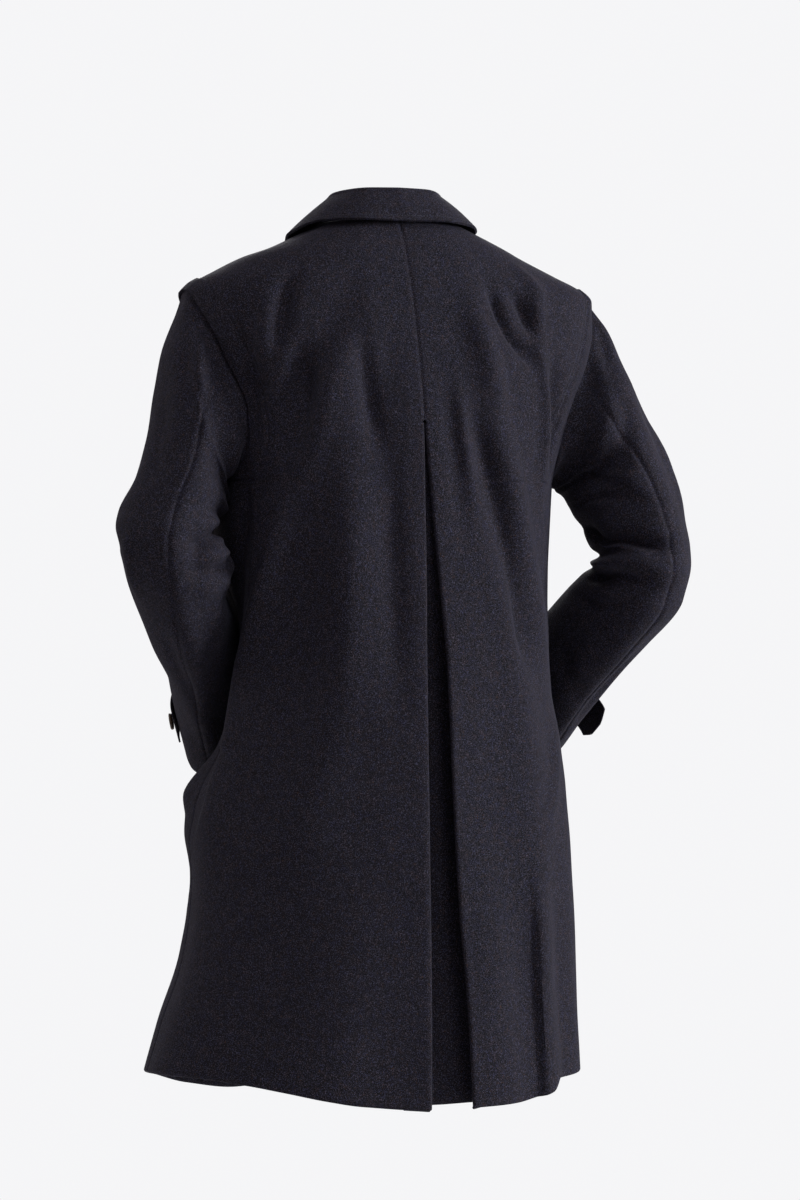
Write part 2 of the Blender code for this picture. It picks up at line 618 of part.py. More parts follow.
def pocket_welt(side):
    """Grid of a slanted welt, made from the front's own points moved out."""
    down = np.linspace(0, 1, 8)[:, None]
    across = np.linspace(0, 1, 4)[None, :]
    x = WELT_TOP[0] + (WELT_FOOT[0] - WELT_TOP[0]) * down - WELT_WIDTH * across
    z = WELT_TOP[1] + (WELT_FOOT[1] - WELT_TOP[1]) * down + 0 * x
    depth = -(WALL + WELT_GAP) + 0 * x
    return body_at(turn_of(side * x, False, z), z, depth)


def add_button(name, point, out, radius, parts):
    """A turned button: a flat disc with rounded rims, facing along out."""
    bpy.ops.mesh.primitive_cylinder_add(vertices=24, radius=radius, depth=BUTTON_THICK)
    button = bpy.context.object
    button.name = name
    button.location = Vector(point) + Vector(out) * (BUTTON_THICK / 2)
    button.rotation_mode = "QUATERNION"
    button.rotation_quaternion = Vector(out).to_track_quat("Z", "Y")
    rim = button.modifiers.new("rim", "BEVEL")
    rim.width = 0.0009
    rim.segments = 2
    for home in list(button.users_collection):
        home.objects.unlink(button)
    parts.objects.link(button)
    button.data.materials.append(material(name + "_finish", HORN, 0.4))
    return button


def add_front_buttons(parts):
    for number, height in enumerate(BUTTON_HEIGHTS, start=1):
        turn = turn_of(0.0, False, height)
        point = body_at(turn, np.array(height), np.array(-BUTTON_GAP))
        out = body_at(turn, np.array(height), np.array(-1.0)) - body(turn, height)
        add_button("front_button_%d" % number, point, out, BUTTON_RADIUS, parts)


def add_cuff_button(side, parts):
    grid = cuff_tab(side)
    point = (grid[-2, 1] + grid[-2, 2]) / 2
    out = np.cross(grid[-1, 1] - grid[-3, 1], grid[-2, 3] - grid[-2, 0]) * -side
    out = out / np.linalg.norm(out)
    point = point + out * BUTTON_GAP
    add_button("cuff_button_" + side_name(side), point, out, CUFF_BUTTON_RADIUS, parts)


# ------------------------------------------------------------------ meshes
def cloth_mesh(name, grid, keep):
    """An open cloth surface from a grid of points; its first axis runs down the piece."""
    rows, columns = grid.shape[:2]
    mesh = bpy.data.meshes.new(name)
    sheet = bmesh.new()
    corners = {}

    def corner(row, column):
        if (row, column) not in corners:
            corners[row, column] = sheet.verts.new(grid[row, column])
        return corners[row, column]

    for row in range(rows - 1):
        for column in range(columns - 1):
            if keep[row, column]:
                ring = [(row, column), (row, column + 1), (row + 1, column + 1), (row + 1, column)]
                sheet.faces.new([corner(*place) for place in ring])
    sheet.to_mesh(mesh)
    sheet.free()
    return mesh


def material(name, colour, roughness):
    finish = bpy.data.materials.new(name)
    finish.use_nodes = True
    shader = finish.node_tree.nodes["Principled BSDF"]
    shader.inputs["Base Color"].default_value = (*colour, 1.0)
    shader.inputs["Roughness"].default_value = roughness
    shader.inputs["Metallic"].default_value = 0.0
    return finish


def add_piece(name, mesh, colour, roughness, parts):
    piece = bpy.data.objects.new(name, mesh)
    mesh.materials.append(material(name + "_finish", colour, roughness))
    parts.objects.link(piece)
    return piece


def add_cloth(name, grid, keep, facing_out, parts, thickness=WALL):
    """A cloth wall: the grid is its outer face, and it thickens inwards."""
    if keep is None:
        keep = np.ones((grid.shape[0] - 1, grid.shape[1] - 1), dtype=bool)
    if not facing_out:
        grid = grid[:, ::-1]
        keep = keep[:, ::-1]
    piece = add_piece(name, cloth_mesh(name, grid, keep), NAVY, 0.9, parts)
    wall = piece.modifiers.new("wall", "SOLIDIFY")
    wall.thickness = thickness
    wall.offset = -1.0
    wall.use_even_offset = False
    for polygon in piece.data.polygons:
        polygon.use_smooth = True
    return piece


def remove_startup_objects():
    for item in list(bpy.data.objects):
        bpy.data.objects.remove(item, do_unlink=True)


def build_coat():
    parts = bpy.data.collections.new(COAT)
    bpy.context.scene.collection.children.link(parts)
    for name, side in (("left", 1), ("right", -1)):
        grid, keep = back_panel(side)
        add_cloth("back_" + name, grid, keep, side > 0, parts)
        grid, keep = front_panel(side)
        add_cloth("front_" + name, grid, keep, side < 0, parts)
        grid, keep = sleeve_grid(side, True, 10)
        add_cloth("sleeve_upper_" + name, grid, keep, side < 0, parts)
        grid, keep = sleeve_grid(side, False, 10)
        add_cloth("sleeve_under_" + name, grid, keep, side < 0, parts)
        add_cloth("cuff_tab_" + name, cuff_tab(side), None, side > 0, parts)
        add_cloth("pocket_welt_" + name, pocket_welt(side), None, side > 0, parts)
        add_cuff_button(side, parts)
    grid, keep = pleat_underlay()
    add_cloth("pleat_underlay", grid, keep, True, parts)
    add_cloth("collar", collar_rows(*collar_grid()), None, True, parts, COLLAR_WALL)
    add_front_buttons(parts)


remove_startup_objects()
build_coat()
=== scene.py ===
"""Looks of the wool overcoat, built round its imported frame.

Every cloth piece is a thin wall on the form of its solid, with the coat's folds, creases,
lapped and topstitched armholes, pressed pleat and turned hem. Metres, +Z up; the wearer
faces -Y, the wearer's left is +X and the origin is the base of the neck. "Turn" is the
angle in degrees round the body from the centre back, positive to the wearer's left.
"""
from math import pi, radians

import bmesh
import bpy
import numpy as np
from mathutils import Matrix, Vector


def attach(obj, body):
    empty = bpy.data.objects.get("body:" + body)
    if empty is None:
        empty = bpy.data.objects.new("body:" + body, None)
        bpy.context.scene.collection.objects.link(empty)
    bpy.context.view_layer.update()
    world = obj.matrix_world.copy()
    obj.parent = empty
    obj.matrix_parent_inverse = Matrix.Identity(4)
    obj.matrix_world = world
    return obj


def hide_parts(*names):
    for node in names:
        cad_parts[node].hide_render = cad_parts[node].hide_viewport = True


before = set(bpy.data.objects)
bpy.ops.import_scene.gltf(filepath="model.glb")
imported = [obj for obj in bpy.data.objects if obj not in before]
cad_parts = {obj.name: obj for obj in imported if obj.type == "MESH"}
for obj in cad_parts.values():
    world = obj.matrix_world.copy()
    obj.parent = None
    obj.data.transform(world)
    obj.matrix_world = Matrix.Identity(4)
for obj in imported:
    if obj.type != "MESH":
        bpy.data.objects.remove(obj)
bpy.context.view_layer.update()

# ---------------- driving sizes
WALL = 0.0024              # melton cloth
COLLAR_WALL = 0.0032       # collar, two layers pressed together
EDGE_ROUND = 0.36          # share of its thickness by which an edge is rounded
SEAM_GAP = -0.0006         # sewn pieces press together this far
RIDGE_GAP = 0.0001         # between the pieces where a seam stands as a ridge
LAP_GAP = 0.0010           # between an armhole edge and the sleeve head under it
SHOULDER_TIP = -0.0733     # height where the shoulder seam meets the armhole
UNDERARM = -0.305          # height of the lowest armhole point
TORSO_TOP = 0.013          # height of the topmost body section
NECK_HALF = 0.080          # half-width of the neck hole at the shoulder seams
NECK_BACK = 0.012          # height of the neck edge at the back and the shoulder seams
NECK_FRONT = -0.078        # height of the neck edge at the centre front
NECK_GAP = 0.0012          # between the neck edge and the foot of the stand
FRONT_LAP = 0.030          # each front reaches this far past the centre
LAP_DEPTH = 0.0036         # the right front lies this far under the left
PLEAT_TOP = -0.236         # the pleat is sewn shut above this height
FOLD_RADIUS = 0.0036       # outer radius of the pressed pleat edges
PLEAT_RETURN = 0.022       # cloth turned back behind a pleat edge
UNDERLAY_GAP = 0.0010      # between a return and the underlay it lies on
HEM_RADIUS = 0.0031        # outer radius of the turned hem
HEM_RETURN = 0.038         # cloth turned up inside the hem
BUTTON_RADIUS = 0.0135
BUTTON_THICK = 0.0042
CUFF_BUTTON_RADIUS = 0.0105
BUTTON_GAP = 0.0011        # under a button, over the curve of the cloth
BUTTON_HEIGHTS = (-0.160, -0.300, -0.440, -0.580)
TAB_START = -74            # the cuff tabs: degrees round the sleeve where one is sewn in
TAB_SWEEP = 74             # degrees that it reaches round the sleeve
TAB_POINT = 9              # and that its point adds
TAB_GAP = 0.0008
TAB_BUTTON_ROW = 6         # grid rows from a tab's end to its button
TAB_EASE = 0.0006          # more room under a tab, for the sleeve's creases
TABS = {                   # middle and half-width in stations, and how far the end stands off
    "left": (12.35, 0.33, 0.0010),
    "right": (11.45, 0.46, 0.0260),
}
WELT_TOP = (0.152, -0.655)     # outer top corner of a pocket welt: half-width and height
WELT_FOOT = (0.186, -0.800)
WELT_WIDTH = 0.036
WELT_GAP = 0.0026
WELT_STITCH_ROW = 0.006    # its topstitching, from each long edge
WELT_DENT = 0.0005
EDGE_ROW_WIDTH = 0.0016    # half-width of the dent along a stitched edge
WALL_BRIGHT = 0.93         # pale studio walls, as they are seen
WORLD_BRIGHT = 0.36        # light from the wall behind the coat as it is photographed
WORLD_DIM = 0.30           # and from all round
LIGHTS = [                 # name, place, aim, size in metres, watts, colour
    ("key", (-3.10, 1.66, 0.30), (0.0, 0.0, -0.55), 0.9, 156.0, (0.97, 0.98, 1.0)),
    ("top", (-0.5, 2.0, 2.4), (0.0, 0.0, -0.20), 1.0, 38.0, (0.97, 0.98, 1.0)),
    ("front", (-0.9, -3.2, 1.2), (0.0, 0.0, -0.45), 1.6, 52.0, (1.0, 1.0, 1.0)),
    ("side", (3.3, -0.5, 0.7), (0.0, 0.0, -0.45), 1.6, 22.0, (1.0, 1.0, 1.0)),
]


class Table:
    """Rows of named columns, read smoothly and without overshoot by the first column."""

    def __init__(self, names, rows):
        self.names = names.split()
        values = np.array(sorted(rows), dtype=float)
        self.keys = values[:, 0]
        self.columns = {name: values[:, i] for i, name in enumerate(self.names)}
        self.slopes = {name: self.monotone_slopes(column) for name, column in self.columns.items()}

    def monotone_slopes(self, column):
        step = np.diff(self.keys)
        rise = np.diff(column) / step
        slopes = np.empty_like(column)
        slopes[0] = rise[0]
        slopes[-1] = rise[-1]
        before = rise[:-1]
        after = rise[1:]
        same_way = before * after > 0
        total = np.where(same_way, before + after, 1.0)
        slopes[1:-1] = np.where(same_way, 2.0 * before * after / total, 0.0)
        return slopes

    def read(self, name, key):
        key = np.clip(np.asarray(key, dtype=float), self.keys[0], self.keys[-1])
        row = np.clip(np.searchsorted(self.keys, key) - 1, 0, len(self.keys) - 2)
        column = self.columns[name]
        slopes = self.slopes[name]
        width = self.keys[row + 1] - self.keys[row]
        t = (key - self.keys[row]) / width
        start = column[row] * (1 + 2 * t) * (1 - t) ** 2
        start += slopes[row] * width * t * (1 - t) ** 2
        end = column[row + 1] * t * t * (3 - 2 * t)
        end += slopes[row + 1] * width * t * t * (t - 1)
        return start + end


# ---------------- body sections
# One row for each level: half-widths to the wearer's left and right, depths behind and
# before the origin, and how square the section is (2 is an ellipse).
TORSO = Table("height left right back front square", [
    (0.013, 0.078, 0.078, 0.084, 0.045, 2.6),
    (0, 0.107, 0.104, 0.096, 0.056, 2.7),
    (-0.0187, 0.146, 0.143, 0.109, 0.067, 2.65),
    (-0.031, 0.18, 0.167, 0.1155, 0.074, 2.55),
    (-0.051, 0.219, 0.21, 0.124, 0.084, 2.45),
    (-0.067, 0.248, 0.245, 0.13, 0.091, 2.35),
    (-0.08, 0.2556, 0.257, 0.134, 0.097, 2.35),
    (-0.12, 0.25, 0.257, 0.144, 0.115, 2.3),
    (-0.16, 0.236, 0.249, 0.151, 0.129, 2.3),
    (-0.2, 0.223, 0.235, 0.155, 0.138, 2.3),
    (-0.25, 0.215, 0.218, 0.158, 0.143, 2.3),
    (-0.305, 0.212, 0.204, 0.159, 0.144, 2.3),
    (-0.367, 0.215, 0.201, 0.159, 0.142, 2.3),
    (-0.43, 0.21, 0.199, 0.16, 0.14, 2.3),
    (-0.5, 0.206, 0.2, 0.1605, 0.141, 2.3),
    (-0.55, 0.206, 0.202, 0.162, 0.143, 2.35),
    (-0.62, 0.21, 0.216, 0.1645, 0.147, 2.4),
    (-0.67, 0.228, 0.226, 0.1665, 0.15, 2.4),
    (-0.74, 0.244, 0.233, 0.17, 0.153, 2.4),
    (-0.8, 0.242, 0.236, 0.174, 0.156, 2.4),
    (-0.87, 0.252, 0.239, 0.1785, 0.159, 2.4),
    (-0.95, 0.278, 0.242, 0.183, 0.161, 2.4),
    (-1.07, 0.312, 0.248, 0.191, 0.165, 2.4),
])

# The armhole edges: half-width of the back and front panels there, on each side.
ARMHOLE = Table("height back_left front_left back_right front_right", [
    (SHOULDER_TIP, 0.2525, 0.2525, 0.2525, 0.2525),
    (-0.083, 0.249, 0.248, 0.252, 0.251),
    (-0.098, 0.242, 0.239, 0.251, 0.246),
    (-0.125, 0.229, 0.223, 0.246, 0.232),
    (-0.161, 0.2143, 0.205, 0.235, 0.212),
    (-0.19, 0.202, 0.193, 0.2225, 0.197),
    (-0.22, 0.1935, 0.188, 0.211, 0.188),
    (-0.25, 0.19, 0.188, 0.202, 0.184),
    (-0.275, 0.193, 0.193, 0.1965, 0.187),
    (-0.295, 0.202, 0.202, 0.1975, 0.194),
    (UNDERARM, 0.212, 0.212, 0.204, 0.204),
])

# Height of the hem round the body, by turn from the centre back towards the left.
HEM = Table("turn height", [
    (-180, -1.052), (-115, -1.04), (-90, -1.024), (-66, -1.015), (-50, -1.015), (-45.5, -1.029),
    (-33, -1.037), (-15, -1.038), (0, -1.038), (23, -1.033), (35, -1.026), (46, -1.017), (57, -1.009),
    (70, -1.004), (90, -1.009), (106, -1.022), (119, -1.04), (136, -1.052), (180, -1.056),
])

# The centre-back seam and the left pleat edge: how far they wander to the left.
CENTRE = Table("height across", [
    (0.013, 0.0085), (-0.045, 0.006), (-0.135, 0.001), (-0.24, -0.004),
    (-0.5, -0.007), (-0.8, -0.0075), (-1.07, -0.004),
])

# How far the right pleat edge stands from the left one.
PLEAT = Table("height opening", [
    (PLEAT_TOP, 0.0002), (-0.29, 0.0045), (-0.36, 0.0105), (-0.455, 0.019),
    (-0.52, 0.025), (-0.6, 0.028), (-0.685, 0.0305), (-0.81, 0.0355),
    (-0.9, 0.043), (-1.07, 0.053),
])

# Folds of the body: each runs from a top point to a bottom point, given by turn and
# height, with its half-width there in degrees of turn and how far it stands out.
FOLDS = {
    # top turn and height, bottom turn and height, top and bottom width, rise
    "left flare ridge": (50, -0.31, 70, -0.52, 8, 9, 0.008),
    "left lower ridge": (72, -0.56, 78, -1.08, 9, 10, 0.005),
    "left side valley": (80, -0.5, 90, -0.64, 10, 9, -0.006),
    "left forearm press": (92, -0.44, 124, -0.68, 17, 15, -0.037),
    "left pocket bulge": (108, -0.635, 105, -0.73, 12, 12, 0.026),
    "right flare corner": (-38, -0.33, -52, -1.08, 9, 8, 0.009),
    "right side valley": (-84, -0.64, -82, -1.09, 12, 13, -0.018),
    "right forearm press": (-113, -0.45, -122, -0.64, 18, 16, -0.028),
    "right front corner": (-114, -0.72, -116, -1.12, 14, 14, 0.017),
    "left blade trough": (32, -0.08, 52, -0.23, 7, 8, -0.005),
    "left blade ridge": (22, -0.11, 38, -0.3, 8, 10, 0.0045),
    "left inner trough": (14, -0.13, 22, -0.33, 8, 8, -0.0035),
    "right blade trough": (-40, -0.06, -58, -0.2, 7, 7, -0.0065),
    "right blade ridge": (-28, -0.12, -34, -0.32, 7, 9, 0.004),
}
FOLD_FADE = 0.07           # length over which a fold dies away at each end

# ---------------- sleeve sections
# One row for each station down the arm: the outer and the inner point of the section,
# the middle and half-depth front to back, how much higher its back is than its middle,
# and the place of the hind seam round the section.
SLEEVE_COLUMNS = "station out_x out_z in_x in_z mid_y half_y back_rise hind_seam"
SLEEVES = {
    "left": Table(SLEEVE_COLUMNS, [
        (0, 0.2554, -0.0735, 0.2125, -0.3047, 0.006, 0.082, 0, 80),
        (1, 0.2665, -0.105, 0.2145, -0.302, 0.01, 0.081, 0.003, 84),
        (2, 0.2785, -0.145, 0.2165, -0.3045, 0.014, 0.078, 0.007, 88),
        (3, 0.287, -0.19, 0.218, -0.312, 0.02, 0.075, 0.011, 90),
        (4, 0.298, -0.24, 0.219, -0.323, 0.03, 0.071, 0.015, 90),
        (5, 0.318, -0.298, 0.22, -0.338, 0.044, 0.067, 0.017, 88),
        (6, 0.34, -0.338, 0.2205, -0.358, 0.056, 0.064, 0.012, 84),
        (7, 0.347, -0.366, 0.219, -0.38, 0.066, 0.063, 0, 78),
        (8, 0.337, -0.405, 0.213, -0.404, 0.062, 0.062, -0.018, 74),
        (9, 0.319, -0.445, 0.206, -0.43, 0.042, 0.055, -0.03, 72),
        (10, 0.293, -0.492, 0.196, -0.466, 0.005, 0.049, -0.036, 70),
        (11, 0.262, -0.535, 0.176, -0.506, -0.047, 0.046, -0.037, 68),
        (12, 0.241, -0.58, 0.158, -0.552, -0.096, 0.045, -0.036, 66),
        (13, 0.214, -0.64, 0.133, -0.61, -0.15, 0.044, -0.035, 64),
    ]),
    "right": Table(SLEEVE_COLUMNS, [
        (0, 0.2525, -0.0735, 0.2045, -0.3047, 0.006, 0.082, 0, 80),
        (1, 0.272, -0.105, 0.208, -0.302, 0.01, 0.081, 0.003, 84),
        (2, 0.289, -0.15, 0.213, -0.3045, 0.015, 0.078, 0.007, 88),
        (3, 0.311, -0.196, 0.219, -0.311, 0.022, 0.075, 0.012, 90),
        (4, 0.333, -0.245, 0.227, -0.322, 0.032, 0.071, 0.016, 88),
        (5, 0.351, -0.3, 0.236, -0.34, 0.046, 0.067, 0.018, 86),
        (6, 0.361, -0.35, 0.244, -0.366, 0.06, 0.064, 0.012, 82),
        (7, 0.367, -0.392, 0.248, -0.392, 0.068, 0.064, 0, 78),
        (8, 0.36, -0.434, 0.242, -0.418, 0.058, 0.062, -0.02, 76),
        (9, 0.328, -0.482, 0.229, -0.446, 0.028, 0.054, -0.03, 76),
        (10, 0.299, -0.526, 0.209, -0.484, -0.012, 0.048, -0.035, 76),
        (11, 0.277, -0.57, 0.19, -0.526, -0.056, 0.046, -0.036, 76),
        (12, 0.261, -0.608, 0.177, -0.566, -0.096, 0.045, -0.035, 76),
        (13, 0.237, -0.648, 0.158, -0.606, -0.136, 0.044, -0.034, 76),
    ]),
}
SLEEVE_SQUARE = 2.2        # squareness of a sleeve's section
FORE_SEAM = -82            # place of the front sleeve seam round the section, degrees
CUFF_STATION = 13

# Rounded hollows and one swell of the inner arm, which only the right sleeve has: station
# and angle of the middle, half-widths in stations and degrees, and how far it stands out.
ROUND_CREASES = {
    "left": [],
    "right": [
        (6.9, 165, 0.26, 85, -0.01), (7.8, 165, 0.28, 80, -0.008), (5.3, 170, 0.35, 60, -0.004),
        (3.6, 160, 0.45, 50, -0.005), (7.35, 165, 0.22, 75, 0.004),
    ],
}

# ---------------- collar sections
# The collar by turn from the centre back: the line it rolls over and its outer edge.
COLLAR = Table("turn roll_x roll_y roll_z edge_x edge_y edge_z", [
    (0, 0, 0.07, 0.05, 0, 0.105, 0.007),
    (30, 0.036, 0.061, 0.05, 0.053, 0.098, 0.0085),
    (60, 0.056, 0.035, 0.0495, 0.096, 0.064, 0.0085),
    (80, 0.064, 0.008, 0.048, 0.113, 0.018, 0.003),
    (100, 0.064, -0.015, 0.043, 0.115, -0.022, 0.001),
    (125, 0.055, -0.048, 0.02, 0.103, -0.076, -0.026),
    (150, 0.034, -0.077, -0.018, 0.083, -0.103, -0.074),
    (172, 0.013, -0.093, -0.052, 0.06, -0.127, -0.124),
])
COLLAR_END = 172           # the collar stops short of the centre front on each side
COLLAR_ROLL = 0.0070       # radius of the roll
COLLAR_SHIFT = 0.0025      # it sits a little to the wearer's left
ROLL_START = 205           # degrees round the roll where the stand runs into it
ROLL_END = 20              # and where the fall leaves it
FALL_CROWN = 0.002         # how far the middle of the fall is crowned
COLLAR_REACH = 0.10        # metres round the collar for one radian of turn
COLLAR_STITCH_ROW = 0.0065     # its topstitching, from the outer edge
COLLAR_DENT = 0.0006


# ---------------- body surface
def bump(distance, width):
    """A soft ridge profile: 1 on the line, 0 far from it."""
    return np.exp(-(distance / width) ** 2)


def fade(value, start, end):
    """0 at start, 1 at end, smooth between."""
    t = np.clip((value - start) / (end - start), 0.0, 1.0)
    return t * t * (3 - 2 * t)


def unit(vectors):
    """The same directions at length 1."""
    return vectors / np.linalg.norm(vectors, axis=-1, keepdims=True)


def fold_rise(turn, height):
    """How far the folds push the cloth out at a place on the body."""
    rise = np.zeros(np.broadcast(turn, height).shape)
    for turn_a, high, turn_b, low, wide_a, wide_b, out in FOLDS.values():
        along = np.clip((high - height) / (high - low), 0.0, 1.0)
        middle = turn_a + (turn_b - turn_a) * along
        width = wide_a + (wide_b - wide_a) * along
        ends = fade(height, high + FOLD_FADE, high - FOLD_FADE)
        ends = ends * fade(height, low - FOLD_FADE, low + FOLD_FADE)
        rise = rise + out * bump(turn - middle, width) * ends
    return rise


def body(turn, height):
    """Points of the coat's outer face: turn in degrees from the centre back."""
    turn = np.asarray(turn, dtype=float)
    height = np.asarray(height, dtype=float)
    angle = np.radians(turn)
    deep = np.where(np.cos(angle) > 0, TORSO.read("back", height), TORSO.read("front", height))
    square = TORSO.read("square", height)
    across = np.abs(np.sin(angle)) / half_width(turn, height)
    along = np.abs(np.cos(angle)) / deep
    radius = (across ** square + along ** square) ** (-1.0 / square)
    radius = radius + fold_rise(turn, height)
    return np.stack([radius * np.sin(angle), radius * np.cos(angle), height], axis=-1)


def side_name(side):
    return "left" if side > 0 else "right"


def half_width(x, height):
    """The body section's half-width on the side that x, or a turn, lies on."""
    return np.where(x > 0, TORSO.read("left", height), TORSO.read("right", height))


def turn_of(x, behind, height):
    """Turn of the body point that lies at x, behind or before the shoulder seams."""
    x = np.asarray(x, dtype=float)
    deep = TORSO.read("back" if behind else "front", height)
    square = TORSO.read("square", height)
    share = np.clip(np.abs(x) / half_width(x, height), 0.0, 1.0)
    y = np.maximum(deep * (1 - share ** square) ** (1 / square), RIDGE_GAP / 2)
    return np.degrees(np.arctan2(x, y if behind else -y))


def shoulder_height(side, x):
    """Height of the shoulder seam at a half-width x, found by halving."""
    high = np.full(np.shape(x), TORSO_TOP)
    low = np.full(np.shape(x), SHOULDER_TIP - 0.003)
    for _ in range(44):
        middle = (high + low) / 2
        narrow = TORSO.read(side_name(side), middle) < x
        high = np.where(narrow, middle, high)
        low = np.where(narrow, low, middle)
    return low


def top_height(side, behind, x):
    """Height of a panel's top edge: the neck edge, then the shoulder seam."""
    seam = shoulder_height(side, np.maximum(np.abs(x), NECK_HALF))
    if behind:
        return seam
    drop = (seam - NECK_FRONT) * (1 - np.clip(np.abs(x) / NECK_HALF, 0, 1) ** 2)
    return seam - drop


# ---------------- creases
BODY_REACH = 0.17          # metres round the body for one radian of turn
ARM_REACH = 0.055          # the same round a sleeve
STATION_LENGTH = 0.046     # metres from one sleeve station to the next

